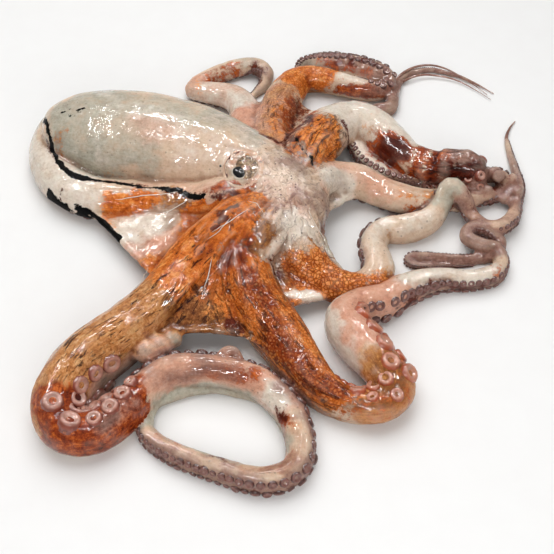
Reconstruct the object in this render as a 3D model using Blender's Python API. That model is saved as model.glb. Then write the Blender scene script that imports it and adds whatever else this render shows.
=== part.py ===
"""A whole raw octopus lying on a flat surface: one closed solid of flesh.

The mantle, the head, the eight arms and the webs between them are drawn as tubes, balls and sheets
that run into each other. A voxel remesh melts them into one skin, as the real animal has, and what
would reach below the surface is pressed flat, as soft flesh is where it rests.

The tables are in millimetres. The mesh is in metres, with the part standing on Z = 0.
"""

import math

import bmesh
import bpy
import numpy as np

MM = 0.001

# The tables' zero is the crown, the point where the arms meet. This is its place in the part, so
# that the part's box is centred on the Z axis.
CROWN_AT = (5.4, 29.9)

# How an arm is made and lies.
RESTING = 0.72  # a resting arm's middle lies this share of its radius above the surface
ORAL_DEPTH = 0.92  # out to the suckers' rims, an arm is this share as deep as its back is high
ARM_WIDTH = 1.05  # an arm is a little wider than it is high
THINNEST = 2.4  # the smallest radius, at the tips
ARM_SIDES = 16
RING_STEP = 5.0
CURVE_STEPS = 12  # points that smooth a route between two rows of its table

# Each arm's route: x, y, lift above lying on the surface, radius, and roll in degrees, which says
# where the suckers face: 0 down, 90 to the arm's left, 180 up, 270 or -90 to its right.
ARMS = {
    "front_left": (
        (-5, -20, 12, 26, 0), (-40, -40, 12, 28, 10), (-68, -62, 3, 27, 25), (-87, -88, 0, 26, 45),
        (-106, -118, 0, 26, 65), (-128, -147, 0, 28, 80), (-155, -175, 0, 28, 95),
        (-172, -205, 0, 26, 115), (-168, -228, 0, 23, 125), (-148, -230, 0, 21, 125),
        (-130, -215, 0, 20, 115), (-115, -195, 0, 18, 100), (-90, -175, 2, 16, 90),
        (-55, -175, 4, 15, 90), (-20, -185, 2, 15, 90), (5, -210, 0, 15, 90), (15, -240, 0, 14, 90),
        (10, -265, 0, 13, 90), (-15, -275, 0, 12, 90), (-50, -265, 0, 11, 90), (-85, -250, 0, 10, 90),
        (-105, -235, 0, 9, 90), (-110, -220, 0, 8, 90), (-105, -200, 0, 8, 90), (-85, -190, 0, 7, 90),
        (-60, -185, 0, 6, 90), (-35, -190, 0, 5, 90), (-15, -200, 0, 3, 90), (0, -225, 0, 2, 90),
        (5, -240, 0, 2, 90),
    ),
    "front": (
        (0, -20, 12, 26, 0), (-20, -45, 18, 24, 0), (-33, -70, 8, 23, 0), (-25, -105, 3, 23, 20),
        (0, -145, 0, 22, 45), (25, -185, 0, 19, 70), (50, -203, 0, 17, 110), (75, -207, 4, 17, 160),
        (87, -193, 6, 19, 200), (80, -172, 6, 21, 230), (65, -150, 4, 23, 250), (55, -128, 2, 21, 255),
        (68, -111, 2, 17, 255), (87, -105, 2, 16, 260), (105, -90, 0, 15, 265), (135, -77, 0, 12, 270),
        (163, -76, 0, 10, 270), (184, -70, 0, 10, 270), (194, -55, 0, 8, 270), (190, -40, 4, 7, 270),
        (177, -39, 8, 7, 270), (165, -28, 6, 7, 270), (171, -19, 8, 7, 270), (184, -23, 8, 7, 270),
        (194, -33, 4, 6, 270), (184, -44, 0, 6, 270), (162, -47, 0, 5, 270), (135, -45, 0, 5, 270),
        (115, -44, 0, 5, 270), (110, -50, 0, 4, 270), (121, -55, 0, 4, 270), (148, -54, 0, 3, 270),
        (171, -52, 0, 2, 270),
    ),
    "right_front": (
        (5, -12, 12, 25, 0), (10, -32, 18, 21, 0), (17, -55, 8, 19, 0), (30, -72, 0, 17, 0),
        (50, -86, 0, 15, 20), (70, -86, 0, 15, 50), (82, -67, 0, 16, 70), (78, -39, 0, 15, 80),
        (89, -19, 0, 13, 80), (110, -16, 0, 14, 80), (130, -9, 3, 13, 80), (142, 4, 10, 11, 80),
        (147, 13, 20, 9, 60), (154, 16, 24, 9, 30), (164, 9, 14, 9, -20), (171, -1, 4, 8, -60),
        (181, -17, 6, 8, -80), (195, -19, 8, 8, -90), (210, -3, 3, 8, -90), (217, 20, 0, 7, -90),
        (223, 40, 0, 6, -90), (222, 62, 0, 5, -90), (220, 86, 0, 4, -90), (219, 108, 0, 3, -90),
        (224, 124, 0, 2, -90), (231, 135, 0, 2, -90),
    ),
    "right": (
        (8, -5, 14, 25, 0), (29, 18, 20, 19, 0), (48, 33, 10, 17, 0), (70, 35, 4, 17, 0),
        (90, 28, 0, 15, 0), (111, 17, 2, 14, 0), (130, 12, 6, 12, 0), (147, 17, 4, 11, 0),
        (164, 19, 0, 10, 0), (185, 24, 0, 9, -60), (202, 31, 0, 9, -80), (210, 42, 2, 9, -90),
        (202, 52, 4, 9, -120), (187, 50, 6, 9, -150), (174, 48, 4, 8, -150), (162, 43, 0, 7, -120),
        (152, 38, 0, 6, -90), (149, 53, 0, 3, -90),
    ),
    "back_right": (
        (5, 10, 14, 25, 0), (18, 42, 25, 22, 0), (33, 77, 12, 24, 0), (50, 106, 4, 22, 0),
        (71, 118, 4, 19, 0), (90, 108, 4, 18, 0), (104, 86, 6, 17, 0), (120, 64, 8, 15, 10),
        (144, 52, 10, 15, 20), (165, 48, 14, 15, 40), (182, 42, 12, 13, 90), (176, 33, 8, 11, 120),
        (157, 40, 2, 10, 120), (137, 46, 0, 9, 90), (116, 50, 0, 8, 60), (95, 58, 0, 9, 60),
        (78, 76, 0, 9, 60), (70, 101, 0, 9, 60), (75, 125, 0, 8, 60), (92, 144, 0, 8, 60),
        (107, 150, 0, 8, 80), (112, 171, 0, 7, 90), (119, 192, 0, 5, 90), (133, 207, 0, 4, 90),
        (156, 213, 0, 3, 90), (180, 204, 0, 2, 90), (199, 191, 0, 2, 90), (215, 177, 0, 2, 90),
    ),
    "back": (
        (-1, 17, 14, 25, 0), (-10, 58, 22, 20, 0), (-12, 96, 12, 19, 0), (-3, 134, 4, 19, 0),
        (6, 165, 2, 17, 20), (19, 185, 2, 14, 60), (39, 185, 4, 13, 70), (64, 178, 3, 12, 80),
        (85, 173, 2, 11, 90), (101, 174, 2, 10, 120), (104, 185, 6, 11, 150), (90, 193, 8, 12, 160),
        (68, 202, 8, 12, 160), (45, 213, 5, 10, 150), (24, 220, 2, 6, 140), (15, 213, 0, 4, 120),
    ),
    "back_left": (
        (-7, 20, 14, 22, 0), (-23, 66, 15, 19, 0), (-34, 107, 6, 17, 0), (-37, 140, 2, 15, 0),
        (-50, 160, 0, 14, 0), (-73, 169, 0, 12, 0), (-88, 174, 0, 10, 0), (-82, 188, 0, 9, 0),
        (-63, 200, 0, 10, 0), (-45, 209, 0, 10, 0), (-27, 208, 3, 10, -60), (-17, 198, 3, 9, -90),
        (-19, 186, 0, 7, -90), (-26, 176, 0, 5, -90), (-34, 166, 0, 4, -90),
    ),
    "left": (
        (-18, 0, 12, 25, 0), (-47, 0, 16, 22, 0), (-75, 5, 6, 20, 0), (-108, 12, 0, 20, 0),
        (-140, 13, 0, 20, 0), (-172, 16, 0, 20, 0), (-200, 33, 0, 20, 0), (-220, 65, 0, 18, 0),
        (-226, 103, 0, 14, 0), (-218, 133, 0, 11, 0), (-196, 152, 0, 10, 0), (-163, 158, 0, 9, 0),
        (-130, 155, 0, 8, 0), (-108, 152, 0, 5, 0),
    ),
}

# The webs: sheets of skin between two arms, from and to so many millimetres along each one. The
# free edge draws back in the middle by the last number, as a share of the sheet's length. The last
# row is the hollow underside of the back right arm, where it curls over its own tip.
WEBS = (
    ("front_left", 20, 185, "front", 20, 150, 0.10),
    ("front", 15, 125, "right_front", 15, 110, 0.10),
    ("right_front", 15, 120, "right", 15, 100, 0.55),
    ("right", 10, 70, "back_right", 10, 75, 0.35),
    ("back_right", 15, 150, "back", 15, 160, 0.20),
    ("back", 15, 130, "back_left", 15, 130, 0.20),
    ("back_left", 15, 120, "left", 15, 120, 0.45),
    ("left", 20, 165, "front_left", 20, 150, 0.08),
    ("back_right", 150, 245, "back_right", 425, 330, 0.0),
)
WEB_THICK = 7.0
WEB_ROWS = 14
WEB_COLUMNS = 12
HEM = 4.5  # the radius of a web's rounded free edge

# The mantle and head: x, y, height of the middle, half width, half height.
BODY = (
    (-226, 100, 28, 8, 8), (-217, 98, 29, 24, 20), (-195, 92, 31, 38, 30), (-155, 83, 34, 48, 35),
    (-110, 72, 35, 48, 35), (-70, 58, 35, 43, 33), (-43, 42, 36, 38, 30), (-20, 22, 36, 37, 30),
    (0, 0, 34, 38, 30), (10, -20, 30, 24, 24),
)
SAG = 0.55  # this power squares off the underside, where the soft body spreads under its weight
BODY_SIDES = 28

# The crown's mound of flesh, which covers the roots of the arms, and the eye's swelling.
CROWN_MOUND = (2, -4, 30)
CROWN_RADII = (40, 42, 32)
EYE_AT = (-46, 27, 48)
EYE_RADII = (17, 17, 17)
POLE = 0.08  # a ball's first ring is this angle from its pole, in radians

# The skin: its voxels, how often they are smoothed, and how fine the finished mesh is.
VOXEL = 2.2
SMOOTHING = 5
TRIANGLES = 9400
PRESSED = 0.0004  # points this near the surface, in metres, are laid on it


def along(route, step):
    """A smooth curve through a table's rows, and the distance along it, every step millimetres.

    Between two rows the curve is the Catmull-Rom cubic of those rows and their neighbours.
    """
    rows = np.asarray(route, float)
    ends = np.vstack([2 * rows[0] - rows[1], rows, 2 * rows[-1] - rows[-2]])
    t = np.linspace(0, 1, CURVE_STEPS, endpoint=False)[:, None]
    pieces = []
    for a, b, c, d in zip(ends, ends[1:], ends[2:], ends[3:]):
        bend = 2 * a - 5 * b + 4 * c - d
        twist = -a + 3 * b - 3 * c + d
        pieces.append(b + 0.5 * ((c - a) * t + bend * t**2 + twist * t**3))
    curve = np.vstack([*pieces, rows[-1:]])
    steps = np.linalg.norm(np.diff(curve[:, :3], axis=0), axis=1)
    length = np.concatenate([[0], np.cumsum(steps)])
    stations = np.linspace(0, length[-1], round(length[-1] / step))
    return np.column_stack([np.interp(stations, length, column) for column in curve.T]), stations


def arm_line(route):
    """An arm's middle line, radii, rolls in radians and distances from its root."""
    rows, stations = along(route, RING_STEP)
    radius = np.maximum(rows[:, 3], THINNEST)
    middle = rows[:, :3]
    middle[:, 2] += RESTING * radius
    return middle, radius, np.radians(rows[:, 4]), stations


def directions(line):
    """Unit vectors to the right of a line and up from it."""
    ahead = np.gradient(line, axis=0)
    right = np.cross(ahead, (0, 0, 1))
    right /= np.linalg.norm(right, axis=1)[:, None]
    up = np.cross(right, ahead)
    return right, up / np.linalg.norm(up, axis=1)[:, None]


def turn(sides):
    """Evenly spaced angles once round."""
    return np.linspace(0, 2 * math.pi, sides, endpoint=False)


def arm_rings(route):
    """Rings of an arm: round on its back, a little flatter on the side that carries the suckers."""
    middle, radius, roll, _ = arm_line(route)
    right, up = directions(middle)
    roll = roll[:, None]
    back = up * np.cos(roll) + right * np.sin(roll)
    across = up * np.sin(roll) - right * np.cos(roll)
    angle = turn(ARM_SIDES)
    rise = np.where(np.cos(angle) > 0, 1, ORAL_DEPTH) * np.cos(angle)
    side = ARM_WIDTH * np.sin(angle)
    shape = back[:, None] * rise[None, :, None] + across[:, None] * side[None, :, None]
    return middle[:, None] + radius[:, None, None] * shape


def body_rings():
    """Rings of the mantle and head: an ellipse above, and a squarer, sagging curve below."""
    rows, _ = along(BODY, RING_STEP)
    right, up = directions(rows[:, :3])
    angle = turn(BODY_SIDES)
    power = np.where(np.cos(angle) < 0, SAG, 1.0)
    across = np.sign(np.sin(angle)) * np.abs(np.sin(angle)) ** power
    height = np.sign(np.cos(angle)) * np.abs(np.cos(angle)) ** power
    wide = right[:, None] * across[None, :, None] * rows[:, 3][:, None, None]
    high = up[:, None] * height[None, :, None] * rows[:, 4][:, None, None]
    return rows[:, None, :3] + wide + high


def web_sheet(one, from_one, to_one, other, from_other, to_other, draw_back):
    """A web's middle surface, one row of points for each step out to its free edge."""
    out = np.linspace(0, 1, WEB_ROWS)[:, None]
    over = np.linspace(0, 1, WEB_COLUMNS)
    drawn = out * (1 - draw_back * 4 * over * (1 - over))
    sheet = np.zeros((WEB_ROWS, WEB_COLUMNS, 3))
    for name, start, end, weight in (
        (one, from_one, to_one, 1 - over),
        (other, from_other, to_other, over),
    ):
        middle, _, _, stations = arm_line(ARMS[name])
        at = start + (end - start) * drawn
        point = np.stack([np.interp(at, stations, column) for column in middle.T], -1)
        sheet += weight[None, :, None] * point
    sheet[..., 2] = np.maximum(sheet[..., 2], WEB_THICK / 2)
    return sheet


def web_rings(sheet):
    """A sheet made as thick as a web: each ring runs out along its top and back along its foot."""
    half = np.array([0, 0, WEB_THICK / 2])
    return np.concatenate([sheet + half, (sheet - half)[:, ::-1]], axis=1)


def hem_rings(line):
    """Rings of the round hem along a web's free edge."""
    right, up = directions(line)
    angle = turn(ARM_SIDES)
    around = right[:, None] * np.sin(angle)[None, :, None] + up[:, None] * np.cos(angle)[None, :, None]
    return line[:, None] + HEM * around


def ball_rings(centre, radii):
    """Rings of a ball that is stretched to three radii."""
    polar = np.linspace(POLE, math.pi - POLE, ARM_SIDES)
    angle = turn(BODY_SIDES)
    across = np.sin(polar)[:, None]
    height = np.cos(polar)[:, None] * np.ones_like(angle)
    unit = np.stack([across * np.cos(angle), across * np.sin(angle), height], -1)
    return np.asarray(centre, float) + np.asarray(radii, float) * unit


def tube(rings):
    """Vertices and faces of a closed tube through rings of points, zipped flat at each end."""
    count, sides = rings.shape[:2]
    i, j = np.meshgrid(np.arange(count - 1), np.arange(sides), indexing="ij")
    k = (j + 1) % sides
    walls = np.stack([i * sides + j, i * sides + k, (i + 1) * sides + k, (i + 1) * sides + j], -1)
    a = np.arange(sides // 2 - 1)
    zipped = np.stack([sides - 1 - a, sides - 2 - a, a + 1, a], -1)
    ends = np.concatenate([zipped, zipped[:, ::-1] + (count - 1) * sides])
    return rings.reshape(-1, 3), np.concatenate([walls.reshape(-1, 4), ends]).tolist()


def add(bm, rings):
    """Adds a tube to the mesh, facing outwards, in metres and in the part's place."""
    points, faces = tube(rings)
    made = [bm.verts.new(point) for point in (points + (*CROWN_AT, 0)) * MM]
    new = [bm.faces.new([made[i] for i in face]) for face in faces]
    bmesh.ops.recalc_face_normals(bm, faces=new)


def body_parts():
    """A mesh of every tube, ball and sheet, each one closed and running into its neighbours."""
    bm = bmesh.new()
    for route in ARMS.values():
        add(bm, arm_rings(route))
    for web in WEBS:
        sheet = web_sheet(*web)
        add(bm, web_rings(sheet))
        add(bm, hem_rings(sheet[-1]))
    add(bm, body_rings())
    add(bm, ball_rings(CROWN_MOUND, CROWN_RADII))
    add(bm, ball_rings(EYE_AT, EYE_RADII))
    mesh = bpy.data.meshes.new("body_parts")
    bm.to_mesh(mesh)
    bm.free()
    return mesh


def keep_modified(obj):
    """Gives an object the mesh that its modifiers make, and removes them."""
    graph = bpy.context.evaluated_depsgraph_get()
    made = bpy.data.meshes.new_from_object(obj.evaluated_get(graph))
    obj.modifiers.clear()
    obj.data = made


def press_flat(mesh, below):
    """Moves every point lower than a height onto the surface."""
    points = np.empty(len(mesh.vertices) * 3, np.float32)
    mesh.vertices.foreach_get("co", points)
    points = points.reshape(-1, 3)
    points[points[:, 2] < below, 2] = 0
    mesh.vertices.foreach_set("co", points.ravel())


def flesh():
    """The octopus's wet flesh."""
    material = bpy.data.materials.new("wet_octopus_flesh")
    material.use_nodes = True
    shader = material.node_tree.nodes["Principled BSDF"]
    shader.inputs["Base Color"].default_value = (0.55, 0.36, 0.27, 1)
    shader.inputs["Roughness"].default_value = 0.3
    shader.inputs["Metallic"].default_value = 0.0
    return material


def main():
    for obj in list(bpy.data.objects):
        bpy.data.objects.remove(obj)
    octopus = bpy.data.objects.new("octopus", body_parts())
    bpy.context.scene.collection.objects.link(octopus)

    fuse = octopus.modifiers.new("Fuse", "REMESH")
    fuse.mode = "VOXEL"
    fuse.voxel_size = VOXEL * MM
    soften = octopus.modifiers.new("Soften", "SMOOTH")
    soften.iterations = SMOOTHING
    keep_modified(octopus)
    press_flat(octopus.data, 0)

    triangles = sum(len(face.vertices) - 2 for face in octopus.data.polygons)
    thin = octopus.modifiers.new("Thin", "DECIMATE")
    thin.ratio = TRIANGLES / triangles
    keep_modified(octopus)
    press_flat(octopus.data, PRESSED)
    octopus.data.materials.append(flesh())
    octopus.data.shade_smooth()


main()
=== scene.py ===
# %% [markdown]
# One white strand among them is a painted highlight: a line of glint along an arm's edge.
# # A whole raw octopus
#
# The octopus lies on its underside with its eight arms flopped and curled about it. Its skin is one
# wet, slippery sheet that runs from the mantle over the head and down every arm, so here it is one
# closed surface. The suckers, the eye and the strands of slime are pieces laid onto that skin, and
# the finest ends of two arms grow out of it.
#
# Lengths in the tables are millimetres, with the crown, the place where the arms meet, as zero. A
# mesh is in metres, in the place that the imported model gives it.

import math

import bpy
import numpy as np
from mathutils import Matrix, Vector
from mathutils.bvhtree import BVHTree


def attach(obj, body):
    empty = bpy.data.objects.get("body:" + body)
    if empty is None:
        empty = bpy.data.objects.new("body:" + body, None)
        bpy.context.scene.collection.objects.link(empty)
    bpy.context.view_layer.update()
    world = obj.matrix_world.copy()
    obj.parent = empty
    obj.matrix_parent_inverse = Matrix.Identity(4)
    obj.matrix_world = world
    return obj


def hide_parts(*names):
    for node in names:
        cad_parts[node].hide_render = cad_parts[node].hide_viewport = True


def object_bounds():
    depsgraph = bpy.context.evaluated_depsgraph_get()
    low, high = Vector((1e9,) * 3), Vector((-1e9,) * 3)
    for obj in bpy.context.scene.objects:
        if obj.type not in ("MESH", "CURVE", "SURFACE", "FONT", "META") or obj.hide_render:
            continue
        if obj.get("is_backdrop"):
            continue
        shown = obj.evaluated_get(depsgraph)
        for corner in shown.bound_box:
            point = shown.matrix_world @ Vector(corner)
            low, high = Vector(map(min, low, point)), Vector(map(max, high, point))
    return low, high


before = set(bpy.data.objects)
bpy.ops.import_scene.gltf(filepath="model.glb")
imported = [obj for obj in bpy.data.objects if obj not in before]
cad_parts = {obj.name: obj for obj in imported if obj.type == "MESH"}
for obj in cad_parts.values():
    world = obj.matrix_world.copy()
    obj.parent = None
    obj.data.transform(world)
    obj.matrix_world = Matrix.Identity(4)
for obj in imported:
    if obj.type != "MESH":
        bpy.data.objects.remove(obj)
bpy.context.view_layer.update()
MM = 0.001
CROWN_AT = np.array((5.4, 29.9, 0.0))  # the crown's place in the part, in millimetres

# %% [markdown]
# ## The table, the camera and the light
#
# A wet animal shows its shape mostly by what it reflects. Soft light alone would make it look dry,
# and small hard lamps alone would make it look like glass. So two panels and a dim white room give
# the soft shade, and long thin tubes, seen only in reflections, give the bright lines that break up
# on the ripples of the skin. The pale table throws light back under the arms.


# %% The table, camera and lights
def colour(code):
    """A hex colour, as a painter would name it, in the linear light that shaders work in.

    Each channel c above 0.04045 becomes ((c + 0.055) / 1.055) ** 2.4, and a darker one c / 12.92.
    """
    channels = [int(code[i : i + 2], 16) / 255 for i in (1, 3, 5)]
    linear = [((c + 0.055) / 1.055) ** 2.4 if c > 0.04045 else c / 12.92 for c in channels]
    return (*linear, 1.0)


def add_node(tree, kind, values=None, links=None, **settings):
    """Adds one node, sets its properties and the numbers on its sockets, and joins its inputs."""
    made = tree.nodes.new("ShaderNode" + kind)
    for name, value in settings.items():
        setattr(made, name, value)
    for socket, value in (values or {}).items():
        made.inputs[socket].default_value = value
    for socket, source in (links or {}).items():
        tree.links.new(source, made.inputs[socket])
    return made


def new_material(name):
    """An empty node material and its finished shader's socket."""
    material = bpy.data.materials.new(name)
    material.use_nodes = True
    tree = material.node_tree
    tree.nodes.clear()
    output = tree.nodes.new("ShaderNodeOutputMaterial")
    return material, tree, output.inputs["Surface"]


def aim(obj, place, target):
    """Puts a lamp or camera at a place, in metres, and turns it to look at a target."""
    obj.location = place
    obj.rotation_euler = (Vector(target) - Vector(place)).to_track_quat("-Z", "Y").to_euler()


VIEW_HEIGHT = math.radians(50)  # the camera looks down on the table at this angle
VIEW_DISTANCE = 1.0
LENS = 73.84
SENSOR = 36.0
CAMERA_TARGET = (CROWN_AT + (-5, -65, 0)) * MM  # just in front of the crown, on the table

camera_data = bpy.data.cameras.new("camera")
camera_data.lens = LENS
camera_data.sensor_width = SENSOR
camera = bpy.data.objects.new("camera", camera_data)
bpy.context.scene.collection.objects.link(camera)
back_to_camera = np.array((0, -math.cos(VIEW_HEIGHT), math.sin(VIEW_HEIGHT)))
aim(camera, CAMERA_TARGET + VIEW_DISTANCE * back_to_camera, CAMERA_TARGET)
bpy.context.scene.camera = camera
bpy.context.scene.view_settings.view_transform = "Standard"
bpy.context.scene.view_settings.look = "None"

TABLE_HALF = 2.5
corners = [(-TABLE_HALF, -TABLE_HALF, 0), (TABLE_HALF, -TABLE_HALF, 0)]
corners += [(TABLE_HALF, TABLE_HALF, 0), (-TABLE_HALF, TABLE_HALF, 0)]
table_mesh = bpy.data.meshes.new("table")
table_mesh.from_pydata(corners, [], [(0, 1, 2, 3)])
table = bpy.data.objects.new("table", table_mesh)
bpy.context.scene.collection.objects.link(table)
table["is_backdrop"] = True

material, tree, surface = new_material("white_laminate")
place = add_node(tree, "TexCoord")
grain = add_node(tree, "TexNoise", {"Scale": 40.0, "Detail": 2.0}, {"Vector": place.outputs["Object"]})
tone = add_node(tree, "Mix", {6: colour("#f0efee"), 7: colour("#f3f3f2")},
                {0: grain.outputs["Fac"]}, data_type="RGBA")
shader = add_node(tree, "BsdfPrincipled", {"Roughness": 0.6, "IOR": 1.45},
                  {"Base Color": tone.outputs[2]})
tree.links.new(shader.outputs[0], surface)
table_mesh.materials.append(material)

world = bpy.data.worlds.new("white_room")
world.use_nodes = True
world.node_tree.nodes["Background"].inputs["Color"].default_value = (1.0, 0.995, 0.985, 1)
world.node_tree.nodes["Background"].inputs["Strength"].default_value = 0.29
bpy.context.scene.world = world

# name, place in metres from the crown, length and width in metres, watts, what it shows in
LAMPS = (
    ("soft_panel", (-0.20, 0.45, 1.30), 1.4, 1.4, 16.0, "diffuse"),
    ("fill_panel", (0.15, -0.95, 0.60), 1.0, 0.6, 4.5, "diffuse"),
    ("back_tube", (0.00, 0.78, 0.95), 1.2, 0.045, 9.0, "glossy"),
    ("high_tube", (-0.10, 0.22, 1.25), 1.0, 0.045, 8.0, "glossy"),
    ("left_tube", (-0.68, 0.15, 0.95), 0.8, 0.045, 9.0, "glossy"),
    ("front_tube", (-0.15, -0.95, 0.85), 0.9, 0.045, 9.0, "glossy"),
    ("right_tube", (0.70, 0.30, 0.95), 0.7, 0.045, 8.0, "glossy"),
)
for name, place, length, width, watts, shown_in in LAMPS:
    lamp_data = bpy.data.lights.new(name, "AREA")
    lamp_data.shape = "RECTANGLE"
    lamp_data.size = length
    lamp_data.size_y = width
    lamp_data.energy = watts
    lamp = bpy.data.objects.new(name, lamp_data)
    lamp.visible_diffuse = shown_in == "diffuse"
    lamp.visible_glossy = shown_in == "glossy"
    lamp.visible_camera = False
    bpy.context.scene.collection.objects.link(lamp)
    aim(lamp, np.array(place) + CROWN_AT * MM, CROWN_AT * MM)
print("camera at", [round(v, 3) for v in camera.location], "and", len(LAMPS), "lamps")

# %% [markdown]
# ## How an arm lies
#
# An arm is a muscle without bones: a tapering rod that can bend anywhere. Modelling one by pulling
# a cylinder about would be slow and would show its joints. A smooth curve through a short table is
# quicker, and the same curve then says where on the arm any point of the skin is, which the
# suckers, the wrinkles and the pigments all need.


# %% A smooth curve through a table
RING_STEP = 3.0
CURVE_STEPS = 12  # points that smooth a route between two rows of its table


def along(route, step):
    """A smooth curve through a table's rows, and the distance along it, every step millimetres.

    Between rows b and c, with neighbours a and d, the curve at t from 0 to 1 is
    b + ((c - a) t + (2a - 5b + 4c - d) t^2 + (-a + 3b - 3c + d) t^3) / 2.
    """
    rows = np.asarray(route, float)
    ends = np.vstack([2 * rows[0] - rows[1], rows, 2 * rows[-1] - rows[-2]])
    t = np.linspace(0, 1, CURVE_STEPS, endpoint=False)[:, None]
    pieces = []
    for a, b, c, d in zip(ends, ends[1:], ends[2:], ends[3:]):
        bend = 2 * a - 5 * b + 4 * c - d
        twist = -a + 3 * b - 3 * c + d
        pieces.append(b + 0.5 * ((c - a) * t + bend * t**2 + twist * t**3))
    curve = np.vstack([*pieces, rows[-1:]])
    steps = np.linalg.norm(np.diff(curve[:, :3], axis=0), axis=1)
    length = np.concatenate([[0], np.cumsum(steps)])
    stations = np.linspace(0, length[-1], round(length[-1] / step))
    return np.column_stack([np.interp(stations, length, column) for column in curve.T]), stations


def directions(line):
    """Unit vectors to the right of a line, up from it and ahead along it.

    Right is ahead x (0, 0, 1), made one long, and up is right x ahead.
    """
    ahead = np.gradient(line, axis=0)
    ahead /= np.linalg.norm(ahead, axis=1)[:, None]
    right = np.cross(ahead, (0, 0, 1))
    right /= np.linalg.norm(right, axis=1)[:, None]
    return right, np.cross(right, ahead), ahead


RESTING = 0.72  # a resting arm's middle lies this share of its radius above the table
THINNEST = 2.0  # the smallest radius, at the tips

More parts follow.
